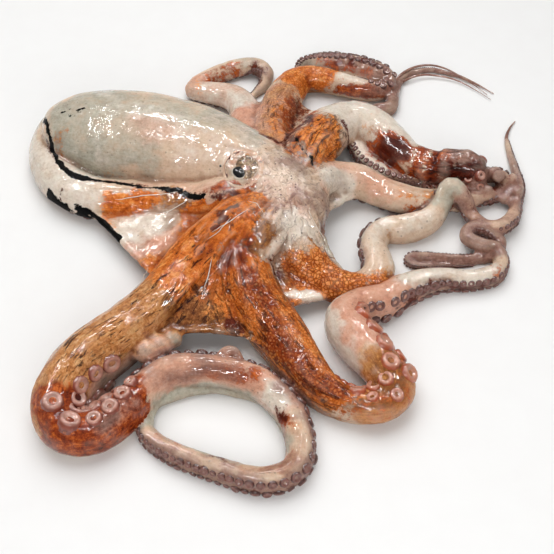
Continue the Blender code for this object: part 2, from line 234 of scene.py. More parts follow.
# Each arm's route: x, y, lift above lying on the surface, radius, and roll in degrees, which says
# where the suckers face: 0 down, 90 to the arm's left, 180 up, 270 or -90 to its right.
ARMS = {
    "front_left": (
        (-5, -20, 12, 26, 0), (-40, -40, 12, 28, 10), (-68, -62, 3, 27, 25), (-87, -88, 0, 26, 45),
        (-106, -118, 0, 26, 65), (-128, -147, 0, 28, 80), (-155, -175, 0, 28, 95),
        (-172, -205, 0, 26, 115), (-168, -228, 0, 23, 125), (-148, -230, 0, 21, 125),
        (-130, -215, 0, 20, 115), (-115, -195, 0, 18, 100), (-90, -175, 2, 16, 90),
        (-55, -175, 4, 15, 90), (-20, -185, 2, 15, 90), (5, -210, 0, 15, 90), (15, -240, 0, 14, 90),
        (10, -265, 0, 13, 90), (-15, -275, 0, 12, 90), (-50, -265, 0, 11, 90), (-85, -250, 0, 10, 90),
        (-105, -235, 0, 9, 90), (-110, -220, 0, 8, 90), (-105, -200, 0, 8, 90), (-85, -190, 0, 7, 90),
        (-60, -185, 0, 6, 90), (-35, -190, 0, 5, 90), (-15, -200, 0, 3, 90), (0, -225, 0, 2, 90),
        (5, -240, 0, 2, 90),
    ),
    "front": (
        (0, -20, 12, 26, 0), (-20, -45, 18, 24, 0), (-33, -70, 8, 23, 0), (-25, -105, 3, 23, 20),
        (0, -145, 0, 22, 45), (25, -185, 0, 19, 70), (50, -203, 0, 17, 110), (75, -207, 4, 17, 160),
        (87, -193, 6, 19, 200), (80, -172, 6, 21, 230), (65, -150, 4, 23, 250), (55, -128, 2, 21, 255),
        (68, -111, 2, 17, 255), (87, -105, 2, 16, 260), (105, -90, 0, 15, 265), (135, -77, 0, 12, 270),
        (163, -76, 0, 10, 270), (184, -70, 0, 10, 270), (194, -55, 0, 8, 270), (190, -40, 4, 7, 270),
        (177, -39, 8, 7, 270), (165, -28, 6, 7, 270), (171, -19, 8, 7, 270), (184, -23, 8, 7, 270),
        (194, -33, 4, 6, 270), (184, -44, 0, 6, 270), (162, -47, 0, 5, 270), (135, -45, 0, 5, 270),
        (115, -44, 0, 5, 270), (110, -50, 0, 4, 270), (121, -55, 0, 4, 270), (148, -54, 0, 3, 270),
        (171, -52, 0, 2, 270),
    ),
    "right_front": (
        (5, -12, 12, 25, 0), (10, -32, 18, 21, 0), (17, -55, 8, 19, 0), (30, -72, 0, 17, 0),
        (50, -86, 0, 15, 20), (70, -86, 0, 15, 50), (82, -67, 0, 16, 70), (78, -39, 0, 15, 80),
        (89, -19, 0, 13, 80), (110, -16, 0, 14, 80), (130, -9, 3, 13, 80), (142, 4, 10, 11, 80),
        (147, 13, 20, 9, 60), (154, 16, 24, 9, 30), (164, 9, 14, 9, -20), (171, -1, 4, 8, -60),
        (181, -17, 6, 8, -80), (195, -19, 8, 8, -90), (210, -3, 3, 8, -90), (217, 20, 0, 7, -90),
        (223, 40, 0, 6, -90), (222, 62, 0, 5, -90), (220, 86, 0, 4, -90), (219, 108, 0, 3, -90),
    ),
    "right": (
        (8, -5, 14, 25, 0), (29, 18, 20, 19, 0), (48, 33, 10, 17, 0), (70, 35, 4, 17, 0),
        (90, 28, 0, 15, 0), (111, 17, 2, 14, 0), (130, 12, 6, 12, 0), (147, 17, 4, 11, 0),
        (164, 19, 0, 10, 0), (185, 24, 0, 9, -60), (202, 31, 0, 9, -80), (210, 42, 2, 9, -90),
        (202, 52, 4, 9, -120), (187, 50, 6, 9, -150), (174, 48, 4, 8, -150), (162, 43, 0, 7, -120),
        (152, 38, 0, 6, -90), (149, 53, 0, 3, -90),
    ),
    "back_right": (
        (5, 10, 14, 25, 0), (18, 42, 25, 22, 0), (33, 77, 12, 24, 0), (50, 106, 4, 22, 0),
        (71, 118, 4, 19, 0), (90, 108, 4, 18, 0), (104, 86, 6, 17, 0), (120, 64, 8, 15, 10),
        (144, 52, 10, 15, 20), (165, 48, 14, 15, 40), (182, 42, 12, 13, 90), (176, 33, 8, 11, 120),
        (157, 40, 2, 10, 120), (137, 46, 0, 9, 90), (116, 50, 0, 8, 60), (95, 58, 0, 9, 60),
        (78, 76, 0, 9, 60), (70, 101, 0, 9, 60), (75, 125, 0, 8, 60), (92, 144, 0, 8, 60),
        (107, 150, 0, 8, 80), (112, 171, 0, 7, 90), (119, 192, 0, 5, 90), (133, 207, 0, 4, 90),
        (156, 213, 0, 3, 90), (180, 204, 0, 2, 90),
    ),
    "back": (
        (-1, 17, 14, 25, 0), (-10, 58, 22, 20, 0), (-12, 96, 12, 19, 0), (-3, 134, 4, 19, 0),
        (6, 165, 2, 17, 20), (19, 185, 2, 14, 60), (39, 185, 4, 13, 70), (64, 178, 3, 12, 80),
        (85, 173, 2, 11, 90), (101, 174, 2, 10, 120), (104, 185, 6, 11, 150), (90, 193, 8, 12, 160),
        (68, 202, 8, 12, 160), (45, 213, 5, 10, 150), (24, 220, 2, 6, 140), (15, 213, 0, 4, 120),
    ),
    "back_left": (
        (-7, 20, 14, 22, 0), (-23, 66, 15, 19, 0), (-34, 107, 6, 17, 0), (-37, 140, 2, 15, 0),
        (-50, 160, 0, 14, 0), (-73, 169, 0, 12, 0), (-88, 174, 0, 10, 0), (-82, 188, 0, 9, 0),
        (-63, 200, 0, 10, 0), (-45, 209, 0, 10, 0), (-27, 208, 3, 10, -60), (-17, 198, 3, 9, -90),
        (-19, 186, 0, 7, -90), (-26, 176, 0, 5, -90), (-34, 166, 0, 4, -90),
    ),
    "left": (
        (-18, 0, 12, 25, 0), (-47, 0, 16, 22, 0), (-75, 5, 6, 20, 0), (-108, 12, 0, 20, 0),
        (-140, 13, 0, 20, 0), (-172, 16, 0, 20, 0), (-200, 33, 0, 20, 0), (-220, 65, 0, 18, 0),
        (-226, 103, 0, 14, 0), (-218, 133, 0, 11, 0), (-196, 152, 0, 10, 0), (-163, 158, 0, 9, 0),
        (-130, 155, 0, 8, 0), (-108, 152, 0, 5, 0),
    ),
}


def arm_line(route, step=RING_STEP):
    """An arm's middle line, radii, rolls in radians and distances from its root."""
    rows, stations = along(route, step)
    radius = np.maximum(rows[:, 3], THINNEST)
    middle = rows[:, :3]
    middle[:, 2] += RESTING * radius
    return middle, radius, np.radians(rows[:, 4]), stations


LINES = {name: arm_line(route) for name, route in ARMS.items()}
for name, line in LINES.items():
    print(f"{name:12s} {line[3][-1]:4.0f} mm long, {2 * line[1][0]:.0f} mm thick at its root")

# %% [markdown]
# ## The forms under the skin
#
# Each form is a tube: rings of points, joined ring to ring and closed at both ends. The arms are
# tubes that are flat on the side that carries the suckers. The mantle and head are one tube with a
# sagging underside. A web is a thin tube pressed to a sheet, with a round hem on its free edge.


# %% Tubes and balls from rings of points
ORAL_DEPTH = 0.66  # the fleshy part of an arm is this share as deep as its back is high
ARM_WIDTH = 1.05
ARM_SIDES = 28
BODY_SIDES = 40
SAG = 0.55  # this power squares off the underside, where the soft body spreads under its weight
POLE = 0.08  # a ball's first ring is this angle from its pole, in radians


def turn(sides):
    """Evenly spaced angles once round."""
    return np.linspace(0, 2 * math.pi, sides, endpoint=False)


def arm_frame(line):
    """The directions out of an arm's back and across it, with its roll turned in."""
    middle, _, roll, _ = line
    right, up, _ = directions(middle)
    roll = roll[:, None]
    back = up * np.cos(roll) + right * np.sin(roll)
    across = up * np.sin(roll) - right * np.cos(roll)
    return back, across


def arm_rings(line):
    """Rings of an arm: middle + radius (back cos a k + across 1.05 sin a), a once round.

    The share k is 1 on the arm's back and ORAL_DEPTH on the side that carries the suckers.
    """
    back, across = arm_frame(line)
    angle = turn(ARM_SIDES)
    rise = np.where(np.cos(angle) > 0, 1, ORAL_DEPTH) * np.cos(angle)
    side = ARM_WIDTH * np.sin(angle)
    shape = back[:, None] * rise[None, :, None] + across[:, None] * side[None, :, None]
    return line[0][:, None] + line[1][:, None, None] * shape


def body_rings(rows):
    """Rings of the mantle and head: an ellipse above, and a squarer, sagging curve below.

    Below the middle both the sine and the cosine are raised to the power SAG.
    """
    right, up, _ = directions(rows[:, :3])
    angle = turn(BODY_SIDES)
    power = np.where(np.cos(angle) < 0, SAG, 1.0)
    across = np.sign(np.sin(angle)) * np.abs(np.sin(angle)) ** power
    height = np.sign(np.cos(angle)) * np.abs(np.cos(angle)) ** power
    wide = right[:, None] * across[None, :, None] * rows[:, 3][:, None, None]
    high = up[:, None] * height[None, :, None] * rows[:, 4][:, None, None]
    return rows[:, None, :3] + wide + high


def ball_rings(centre, radii):
    """Rings of a stretched ball: centre + radii (sin p cos a, sin p sin a, cos p)."""
    polar = np.linspace(POLE, math.pi - POLE, ARM_SIDES)
    angle = turn(BODY_SIDES)
    across = np.sin(polar)[:, None]
    height = np.cos(polar)[:, None] * np.ones_like(angle)
    unit = np.stack([across * np.cos(angle), across * np.sin(angle), height], -1)
    return np.asarray(centre, float) + np.asarray(radii, float) * unit


def tube(rings):
    """Points and faces of a closed tube through rings of points, zipped flat at each end.

    Its volume is the sum of a . (b x c) / 6 over its triangles. Where that comes out negative, the
    faces look inwards, so they are turned round.
    """
    count, sides = rings.shape[:2]
    i, j = np.meshgrid(np.arange(count - 1), np.arange(sides), indexing="ij")
    k = (j + 1) % sides
    walls = np.stack([i * sides + j, i * sides + k, (i + 1) * sides + k, (i + 1) * sides + j], -1)
    a = np.arange(sides // 2 - 1)
    zipped = np.stack([sides - 1 - a, sides - 2 - a, a + 1, a], -1)
    ends = np.concatenate([zipped, zipped[:, ::-1] + (count - 1) * sides])
    faces = np.concatenate([walls.reshape(-1, 4), ends])
    points = rings.reshape(-1, 3)
    p, q, r, s = (points[faces[:, n]] - points.mean(0) for n in range(4))
    volume = (p * np.cross(q, r)).sum() + (p * np.cross(r, s)).sum()
    return points, faces if volume > 0 else faces[:, ::-1]


def join(forms):
    """Several closed forms as one array of points and one list of faces."""
    starts = np.cumsum([0] + [len(points) for points, *_ in forms])
    faces = []
    for (_, *arrays), start in zip(forms, starts):
        for array in arrays:
            faces += (array + start).tolist()
    return np.concatenate([points for points, *_ in forms]), faces


def make_piece(name, points, faces, material=None):
    """A mesh object from points in the tables' millimetres, with its place in its mesh."""
    mesh = bpy.data.meshes.new(name)
    mesh.from_pydata((points + CROWN_AT) * MM, [], faces)
    mesh.update()
    mesh.shade_smooth()
    if material:
        mesh.materials.append(material)
    piece = bpy.data.objects.new(name, mesh)
    bpy.context.scene.collection.objects.link(piece)
    return piece


# %% The route of the mantle and head
# x, y, height of the middle, half width and half height, from the mantle's tip to the crown
BODY = (
    (-226, 100, 28, 8, 8), (-217, 98, 29, 24, 20), (-195, 92, 31, 38, 30), (-155, 83, 34, 48, 35),
    (-110, 72, 35, 48, 35), (-70, 58, 35, 43, 33), (-43, 42, 36, 38, 30), (-20, 22, 36, 37, 30),
    (0, 0, 34, 38, 30), (10, -20, 30, 24, 24),
)


# %% [markdown]
# ## Where the suckers sit
#
# Two rows of suckers run down every arm, each pair a little smaller than the last and the rows
# staggered. A sucker grows out of a soft pad of the arm, so its place is needed before the skin is
# made: the pads are fused with the arms, and the cups are laid on them afterwards. The flaccid arms
# have twisted, so a few stretches carry their suckers further round than the arm's roll says.


# %% Places of the suckers
SUCKER_SHARE = 0.31  # a sucker's radius, as a share of its arm's
SUCKER_APART = 2.05  # from one sucker to the next in its row, in sucker radii
ROW_TURN = 27  # each row is this many degrees round from the middle of the oral side
SUCKER_SIDES = 10
UNEVEN = 0.2  # how much one sucker's size and lean differ from the next one's
# from its foot, over its rim to the middle of its cup: radius and height, in sucker radii
SUCKER_PROFILE = np.array(
    ((0.0, -0.9), (1.14, -0.7), (1.06, -0.1), (0.98, 0.2), (0.80, 0.38), (0.56, 0.34), (0.36, 0.10),
     (0.0, 0.02))
)
PAD_PROFILE = np.array(
    ((0.0, -1.7), (0.9, -1.4), (1.2, -0.7), (1.1, -0.2), (0.75, 0.08), (0.0, 0.14))
)
PAD_SIDES = 8

# arm, from, to, further turn in degrees, share of the usual size, flesh
SUCKER_RUNS = (
    ("front_left", 0, 150, -35, 0.9, "mauve"),
    ("front_left", 205, 256, -8, 1.0, "pink"),
    ("front_left", 256, 350, 34, 1.1, "pink"),
    ("front_left", 350, 860, 4, 1.0, "mauve"),
    ("front", 0, 228, -20, 0.9, "rust"),
    ("front", 228, 352, 0, 1.2, "rust"),
    ("front", 352, 760, 4, 1.0, "mauve"),
    ("right_front", 0, 250, 0, 1.0, "mauve"),
    ("right_front", 250, 520, 0, 1.0, "mauve"),
    ("right", 0, 330, 0, 1.0, "mauve"),
    ("back_right", 0, 250, 0, 1.0, "mauve"),
    ("back_right", 250, 340, 20, 1.2, "pink"),
    ("back_right", 340, 430, 65, 1.0, "mauve"),
    ("back_right", 430, 660, 0, 1.0, "mauve"),
    ("back", 0, 250, 0, 1.0, "mauve"),
    ("back", 250, 380, 55, 0.95, "mauve"),
    ("back_left", 0, 330, 0, 1.0, "mauve"),
    ("left", 0, 430, 0, 1.0, "mauve"),
)


def sucker_places(line, start, end, further, share, seed):
    """Middle, outward direction, direction along the arm and radius of the suckers of a stretch.

    The next pair of suckers lies SUCKER_APART sucker radii on, so the number of pairs is the sum of
    step / (SUCKER_APART x radius) along the arm, and each whole number of that sum places one.
    """
    middle, radius, _, stations = line
    back, across = arm_frame(line)
    _, _, ahead = directions(middle)
    size = SUCKER_SHARE * share * radius
    count = np.cumsum(np.gradient(stations) / (SUCKER_APART * size))
    random = np.random.default_rng(seed)
    made = []
    for row, sign in ((0.0, -1), (0.5, 1)):
        wanted = np.arange(2 + row, count[-1] - 1)
        at = np.interp(wanted, count, np.arange(len(count)))
        columns = np.column_stack([middle, back, across, ahead, size, radius, stations])
        found = np.stack([np.interp(at, np.arange(len(count)), c) for c in columns.T], -1)
        found = found[(found[:, 14] >= start) & (found[:, 14] < end)]
        spot, b, a, f = (found[:, k : k + 3] for k in (0, 3, 6, 9))
        turned_by = np.radians(further + sign * ROW_TURN)
        out = -b * math.cos(turned_by) * ORAL_DEPTH + a * ARM_WIDTH * math.sin(turned_by)
        lean = np.radians(further + 0.6 * sign * ROW_TURN)
        face = -b * math.cos(lean) + a * math.sin(lean)
        face = face + UNEVEN * random.uniform(-1, 1, face.shape)
        own_size = found[:, 12] * random.uniform(1 - UNEVEN, 1 + UNEVEN, len(found))
        made.append(np.column_stack([spot + out * found[:, 13:14], face, f, own_size]))
    return np.concatenate(made)


def clear_of_others(spots, arm, body):
    """Which suckers aren't inside another arm or the body."""
    keep = np.ones(len(spots), bool)
    for other, line in LINES.items():
        if other != arm:
            depth = np.linalg.norm(spots[:, None, :3] - line[0][None], axis=2) / line[1][None]
            keep &= depth.min(1) > 0.92
    depth = np.linalg.norm(spots[:, None, :3] - body[None, :, :3], axis=2) / (0.85 * body[:, 3])
    return keep & (depth.min(1) > 1)


def pole_faces(rings, sides):
    """Faces between rings of points, and the fans to a first and a last point that close them."""
    i, j = np.meshgrid(np.arange(rings - 1), np.arange(sides), indexing="ij")
    k = (j + 1) % sides
    walls = np.stack([i * sides + j, i * sides + k, (i + 1) * sides + k, (i + 1) * sides + j], -1)
    j = np.arange(sides)
    k = (j + 1) % sides
    first = np.stack([k, j, np.full(sides, rings * sides)], -1)
    top = (rings - 1) * sides
    last = np.stack([top + j, top + k, np.full(sides, rings * sides + 1)], -1)
    return walls.reshape(-1, 4), np.concatenate([first, last])


def lathed(spots, profile, sides):
    """A turned profile at each place: middle + size (radius (u cos a + v sin a) + height w).

    w is the outward direction, u the direction along the arm made square to it, and v is w x u.
    Rows are one ring each, and the first and last are single points.
    """
    spot, w, u, size = spots[:, :3], spots[:, 3:6], spots[:, 6:9], spots[:, 9]
    w = w / np.linalg.norm(w, axis=1)[:, None]
    u = u - w * (u * w).sum(1)[:, None]
    u = u / np.linalg.norm(u, axis=1)[:, None]
    v = np.cross(w, u)
    angle = turn(sides)
    ring = np.cos(angle)[None, :, None] * u[:, None] + np.sin(angle)[None, :, None] * v[:, None]
    across = profile[None, 1:-1, 0, None, None] * ring[:, None]
    high = profile[None, 1:-1, 1, None, None] * w[:, None, None]
    body = spot[:, None, None] + size[:, None, None, None] * (across + high)
    count, rings = len(spot), len(profile) - 2
    poles = [spot + size[:, None] * w * profile[k, 1] for k in (0, -1)]
    points = np.concatenate([body.reshape(count, -1, 3), poles[0][:, None], poles[1][:, None]], 1)
    walls, caps = pole_faces(rings, sides)
    starts = (np.arange(count) * (rings * sides + 2))[:, None, None]
    return points.reshape(-1, 3), (walls + starts).reshape(-1, 4), (caps + starts).reshape(-1, 3)


body_rows, body_stations = along(BODY, RING_STEP)
suckers = {}
for number, (arm, start, end, further, share, flesh) in enumerate(SUCKER_RUNS):
    spots = sucker_places(LINES[arm], start, end, further, share, 100 + number)
    suckers[f"suckers_{arm}_{start}"] = (spots[clear_of_others(spots, arm, body_rows)], flesh)
print(sum(len(spots) for spots, _ in suckers.values()), "suckers in", len(suckers), "runs")


# %% The arms, webs, mantle, head and crown as tubes and balls
WEB_THICK = 5.5
WEB_ROWS = 20
WEB_COLUMNS = 24
HEM = 3.8  # the radius of a web's rounded free edge
# arm, from, to along it, the next arm, from, to along that, how far the free edge is
# drawn back, and its lift in mm
WEBS = (
    ("front_left", 20, 185, "front", 20, 150, 0.10, 24),
    ("front", 15, 125, "right_front", 15, 110, 0.10, 5),
    ("right_front", 15, 120, "right", 15, 100, 0.55, 0),
    ("right", 10, 70, "back_right", 10, 75, 0.35, 0),
    ("back_right", 15, 150, "back", 15, 160, 0.20, 0),
    ("back", 15, 130, "back_left", 15, 130, 0.20, 0),
    ("back_left", 15, 120, "left", 15, 120, 0.45, 0),
    ("left", 20, 178, "front_left", 20, 122, 0.0, 4),
    ("back_right", 150, 245, "back_right", 425, 330, 0.0, 0),
)


def web_sheet(one, from_one, to_one, other, from_other, to_other, draw_back, lift):
    """A web's middle surface, one row of points for each step out to its free edge.

    A point is (1 - v) times a place on one arm plus v times a place on the other, v from 0 to 1,
    and the places run out along the arms with u (1 - 4 draw_back v (1 - v)), u from 0 to 1. A web
    drawn tight over two arms is lifted between them by lift (1 - u^2) at its root.
    """
    out = np.linspace(0, 1, WEB_ROWS)[:, None]
    over = np.linspace(0, 1, WEB_COLUMNS)
    drawn = out * (1 - draw_back * 4 * over * (1 - over))
    sheet = np.zeros((WEB_ROWS, WEB_COLUMNS, 3))
    for name, start, end, weight in (
        (one, from_one, to_one, 1 - over),
        (other, from_other, to_other, over),
    ):
        middle, _, _, stations = LINES[name]
        at = start + (end - start) * drawn
        point = np.stack([np.interp(at, stations, column) for column in middle.T], -1)
        sheet += weight[None, :, None] * point
    sheet[..., 2] = np.maximum(sheet[..., 2] + lift * (1 - out**2), WEB_THICK / 2)
    return sheet


def web_rings(sheet):
    """A sheet made as thick as a web: each ring runs out along its top and back along its foot."""
    half = np.array([0, 0, WEB_THICK / 2])
    return np.concatenate([sheet + half, (sheet - half)[:, ::-1]], axis=1)


def rings_round(line, radii, sides):
    """Rings of points round a line: line + radius (right sin a + up cos a)."""
    right, up, _ = directions(line)
    angle = turn(sides)
    around = right[:, None] * np.sin(angle)[None, :, None] + up[:, None] * np.cos(angle)[None, :, None]
    return line[:, None] + radii[:, None, None] * around


def hem_rings(line):
    """Rings of the round hem along a web's free edge, with the radius HEM throughout."""
    return rings_round(line, np.full(len(line), HEM), ARM_SIDES)


CROWN_MOUND = (2, -4, 30)
CROWN_RADII = (40, 42, 32)
EYE_AT = (-46, 27, 48)
EYE_RADII = (17, 17, 17)

STRAND_STEP = 1.2  # from one ring of a strand or tip to the next, in mm
STRAND_SIDES = 10
# stretched membranes that are one with the skin: radius, and places along each
RIDGES = (
    (1.9, ((-68, -66, 46), (-49, -55, 55), (-28, -38, 59), (-14, -26, 56))),
    (1.6, ((-62, -48, 53), (-46, -42, 59), (-30, -34, 60))),
    (1.5, ((-40, -142, 18), (-15, -157, 23), (4, -174, 29))),
    (4.0, ((-54, -174, 18), (-51, -168, 25), (-44, -165, 28), (-37, -167, 26), (-32, -174, 18))),
)
# small lumps that are one with the skin: middle, and the three radii
LUMPS = (
    ((-111, -163, 23), (12, 10, 11)),
    ((-102, -155, 20), (12, 10, 10)),
    ((-93, -146, 17), (11, 9, 9)),
    ((197, 43, 20), (7, 6, 7)),
    ((206, 38, 16), (7, 6, 6)),
    ((210, 30, 11), (6, 6, 6)),
    ((205, 23, 8), (7, 6, 6)),
    ((213, 37, 20), (6, 6, 6)),
    ((199, 36, 24), (6, 5, 6)),
    ((217, 28, 14), (6, 6, 6)),
    ((187, 27, 12), (9, 7, 8)),
    ((176, 21, 10), (8, 7, 8)),
    ((168, 50, 30), (15, 9, 11)),
)


def strand_rings(stops, radius):
    """Rings of a strand through a few places, thin at both ends: radius (sin pi u)^0.5."""
    line, run = along([(*place, 0) for place in stops], STRAND_STEP)
    taper = np.sqrt(np.sin(math.pi * np.clip(run / run[-1], 0.02, 0.98)))
    return rings_round(line[:, :3], radius * taper, STRAND_SIDES)


tubes = [tube(arm_rings(line)) for line in LINES.values()]
tubes += [tube(strand_rings(stops, radius)) for radius, stops in RIDGES]
tubes += [tube(ball_rings(*lump)) for lump in LUMPS]
tubes += [lathed(spots, PAD_PROFILE, PAD_SIDES) for spots, _ in suckers.values() if len(spots)]
for web in WEBS:
    sheet = web_sheet(*web)
    tubes.append(tube(web_rings(sheet)))
    tubes.append(tube(hem_rings(sheet[-1])))
tubes.append(tube(body_rings(body_rows)))
tubes.append(tube(ball_rings(CROWN_MOUND, CROWN_RADII)))
tubes.append(tube(ball_rings(EYE_AT, EYE_RADII)))
print(len(tubes), "forms,", sum(len(form[0]) for form in tubes), "points")

# %% [markdown]
# ## One skin over all of them
#
# Where an arm leaves the head there is no seam on the animal, only a soft hollow. Joining the forms
# with booleans would leave sharp creases there. A voxel remesh casts one skin over everything, and
# a little smoothing rounds the creases into hollows. What would reach below the table is pressed
# flat on it, as soft flesh is.


# %% The fused skin
VOXEL = 1.7
SMOOTHING = 5
SKIN_TRIANGLES = 192000


def keep_modified(piece):
    """Gives a piece the mesh that its modifiers make, and removes them."""
    graph = bpy.context.evaluated_depsgraph_get()
    made = bpy.data.meshes.new_from_object(piece.evaluated_get(graph))
    piece.modifiers.clear()
    piece.data = made


def read_points(mesh, what="co"):
    """A mesh's points, or their outward directions, as one array with three columns."""
    values = np.empty(len(mesh.vertices) * 3, np.float32)
    mesh.vertices.foreach_get(what, values)
    return values.reshape(-1, 3).astype(float)


def write_points(mesh, points):
    """Puts an array of points back into a mesh."""
    mesh.vertices.foreach_set("co", points.astype(np.float32).ravel())
    mesh.update()


skin = make_piece("skin", *join(tubes))
fuse = skin.modifiers.new("Fuse", "REMESH")
fuse.mode = "VOXEL"
fuse.voxel_size = VOXEL * MM
soften = skin.modifiers.new("Soften", "SMOOTH")
soften.iterations = SMOOTHING
keep_modified(skin)
triangles = sum(len(face.vertices) - 2 for face in skin.data.polygons)
print("skin after the remesh:", triangles, "triangles")
thin = skin.modifiers.new("Thin", "DECIMATE")
thin.ratio = min(1.0, SKIN_TRIANGLES / triangles)
keep_modified(skin)
skin.data.shade_smooth()
skin_at = read_points(skin.data) / MM - CROWN_AT
print("skin:", len(skin_at), "points,", len(skin.data.polygons), "faces")

# %% [markdown]
# ## Where each point of the skin is on the animal
#
# Colour cells, wrinkles and cracks follow the arms: they run out along an arm and round it, not
# north and south. After the remesh the skin has lost its rings, so each point is asked how far it
# is from every arm's middle line, counted in that arm's radii. The nearest arm owns it, and between
# two arms the ownership fades from one to the other, so that no seam shows.


# %% Each point's arm, distance along it and turn round it
def ease(value, low, high):
    """0 below low, 1 above high and the smooth curve 3 t^2 - 2 t^3 between. Low may be above high."""
    t = np.clip((value - low) / (high - low), 0, 1)
    return t * t * (3 - 2 * t)


def place_on(line, radius, stations, points):
    """Each point's distance in radii from a line, how far along it is, and its offset from it.

    The squared distances come from p . p - 2 p . c + c . c for every point p and place c at once.
    The offset is measured to the line's right and up from it, in millimetres.
    """
    right, up, ahead = directions(line)
    p, c = points.astype(np.float32), line.astype(np.float32)
    squares = (p * p).sum(1)[:, None] - 2 * p @ c.T + (c * c).sum(1)
    near = (squares / radius.astype(np.float32) ** 2).argmin(1)
    offset = points - line[near]
    share = np.linalg.norm(offset, axis=1) / radius[near]
    forward = (offset * ahead[near]).sum(1)
    aside = (offset * right[near]).sum(1)
    above = (offset * up[near]).sum(1)
    return share, stations[near] + forward, aside, above


HANDOVER = 0.35  # ownership fades to nothing over this many radii

places = {name: place_on(line[0], line[1], line[3], skin_at) for name, line in LINES.items()}
places["body"] = place_on(body_rows[:, :3], body_rows[:, 3], body_stations, skin_at)
names = list(places)
shares = np.stack([places[name][0] for name in names])
owner = shares.argmin(0)
own = {name: ease(share - shares.min(0), HANDOVER, 0) for name, share in zip(names, shares)}
side = {name: np.degrees(np.arctan2(places[name][2], places[name][3])) for name in names}
flow = np.zeros_like(skin_at)
for number, name in enumerate(names):
    mine = owner == number
    _, run, aside, above = places[name]
    flow[mine] = np.column_stack([run, aside, above])[mine] + 1000 * number
print({name: int((owner == number).sum()) for number, name in enumerate(names)})

# %% [markdown]
# ## Relief
#
# The skin of an octopus is loose. It lies in soft lumps over the muscle, gathers in folds where an
# arm bends out of the head, and splits into fine lengthwise cracks where it has dried and rubbed.
# Bump in the material alone would leave the outline smooth, so the larger relief moves the points.
# The lumps come from one lattice of random numbers, read at several sizes. Where the skin then dips
# is worked out too, for painted shade in the dips and painted light on the ridges.


# %% Lumps, folds and cracks that move the skin's points
LATTICE = 48


def lumps(points, size, seed):
    """Smooth random lumps between -1 and 1, about size millimetres across.

    Inside each cell of a lattice of random numbers the eight corner values are mixed with the
    weights 3 t^2 - 2 t^3 along each axis.
    """
    lattice = np.random.default_rng(seed).uniform(-1, 1, (LATTICE,) * 3)
    spot = points / size
    cell = np.floor(spot).astype(int)
    t = spot - cell
    t = t * t * (3 - 2 * t)
    total = np.zeros(len(points))
    for corner in np.ndindex(2, 2, 2):
        weight = np.prod(np.where(corner, t, 1 - t), axis=-1)
        i, j, k = ((cell + corner) % LATTICE).T
        total += weight * lattice[i, j, k]
    return total


# how far, in mm or degrees, the edges of what lies on the skin wander from the numbers in the tables
torn_run = 11 * lumps(skin_at, 22, 61) + 5 * lumps(skin_at, 8, 62) + 2.5 * lumps(skin_at, 3.5, 63)
torn_turn = 24 * lumps(skin_at, 20, 64) + 12 * lumps(skin_at, 7, 65)
torn_place = np.stack([4 * lumps(skin_at, 14, 66 + k) + 2 * lumps(skin_at, 5, 69 + k) for k in (0, 1)])


def band(name, start, end, facing, reach, soft=13.0, soft_turn=30.0):
    """1 on a stretch of an arm, fading to 0 past its ends and past its reach in degrees round it.

    The fades run soft millimetres inside and outside the ends, and soft_turn degrees the same way.
    """
    run = places[name][1] + torn_run
    soft = min(soft, 0.6 * (end - start))
    lengthwise = ease(run, start - soft, start + soft) * ease(run, end + soft, end - soft)
    turned = np.abs((side[name] + torn_turn - facing + 180) % 360 - 180)
    sideways = ease(turned, reach + soft_turn, reach - soft_turn) if reach < 180 else 1.0
    return own[name] * lengthwise * sideways


# arm, from, to, facing, reach, height of the folds in mm, their length and width in mm
FOLDS = (
    ("front_left", 25, 80, 0, 180, 2.6, 26, 7),
    ("front_left", 70, 240, 0, 110, 1.1, 60, 6),
    ("front", 28, 85, 0, 180, 3.0, 24, 7),
    ("front", 80, 240, 0, 110, 0.9, 50, 7),
    ("right_front", 10, 60, 0, 120, 1.0, 40, 7),
    ("back_right", 15, 90, 0, 130, 2.4, 30, 6),
    ("back_right", 222, 285, 0, 180, 2.6, 9, 34),
    ("back", 25, 130, 0, 130, 1.2, 40, 7),
    ("right", 115, 175, 0, 120, 1.4, 22, 6),
    ("right", 185, 300, 0, 180, 1.6, 14, 8),
    ("left", 20, 90, 0, 120, 1.0, 36, 6),
    ("body", 195, 290, 0, 130, 0.8, 30, 5),
)

outward = read_points(skin.data, "normal")
relief = 0.55 * lumps(skin_at, 24, 1) + 0.22 * lumps(skin_at, 8, 2)
arm_skin = 1 - own["body"]
relief += arm_skin * 0.35 * lumps(skin_at, 5, 3)
for number, (name, start, end, facing, reach, height, length, width) in enumerate(FOLDS):
    stretched = flow / (length, width, width)
    ridges = lumps(stretched, 1.0, 10 + number) + 0.5 * lumps(stretched * 2.1, 1.0, 40 + number)
    relief += band(name, start, end, facing, reach) * height * ridges / 1.5

crown_distance = np.linalg.norm(skin_at[:, :2] - (0, -10), axis=1)
crown_turn = np.arctan2(skin_at[:, 1] + 10, skin_at[:, 0])
spokes = np.sin(26 * crown_turn + 4 * lumps(skin_at, 18, 5))
relief += 0.65 * spokes * ease(crown_distance, 6, 20) * ease(crown_distance, 75, 45)

skin_at = skin_at + outward * relief[:, None]
skin_at[:, 2] = np.maximum(skin_at[:, 2], 0)
write_points(skin.data, (skin_at + CROWN_AT) * MM)
outward = read_points(skin.data, "normal")

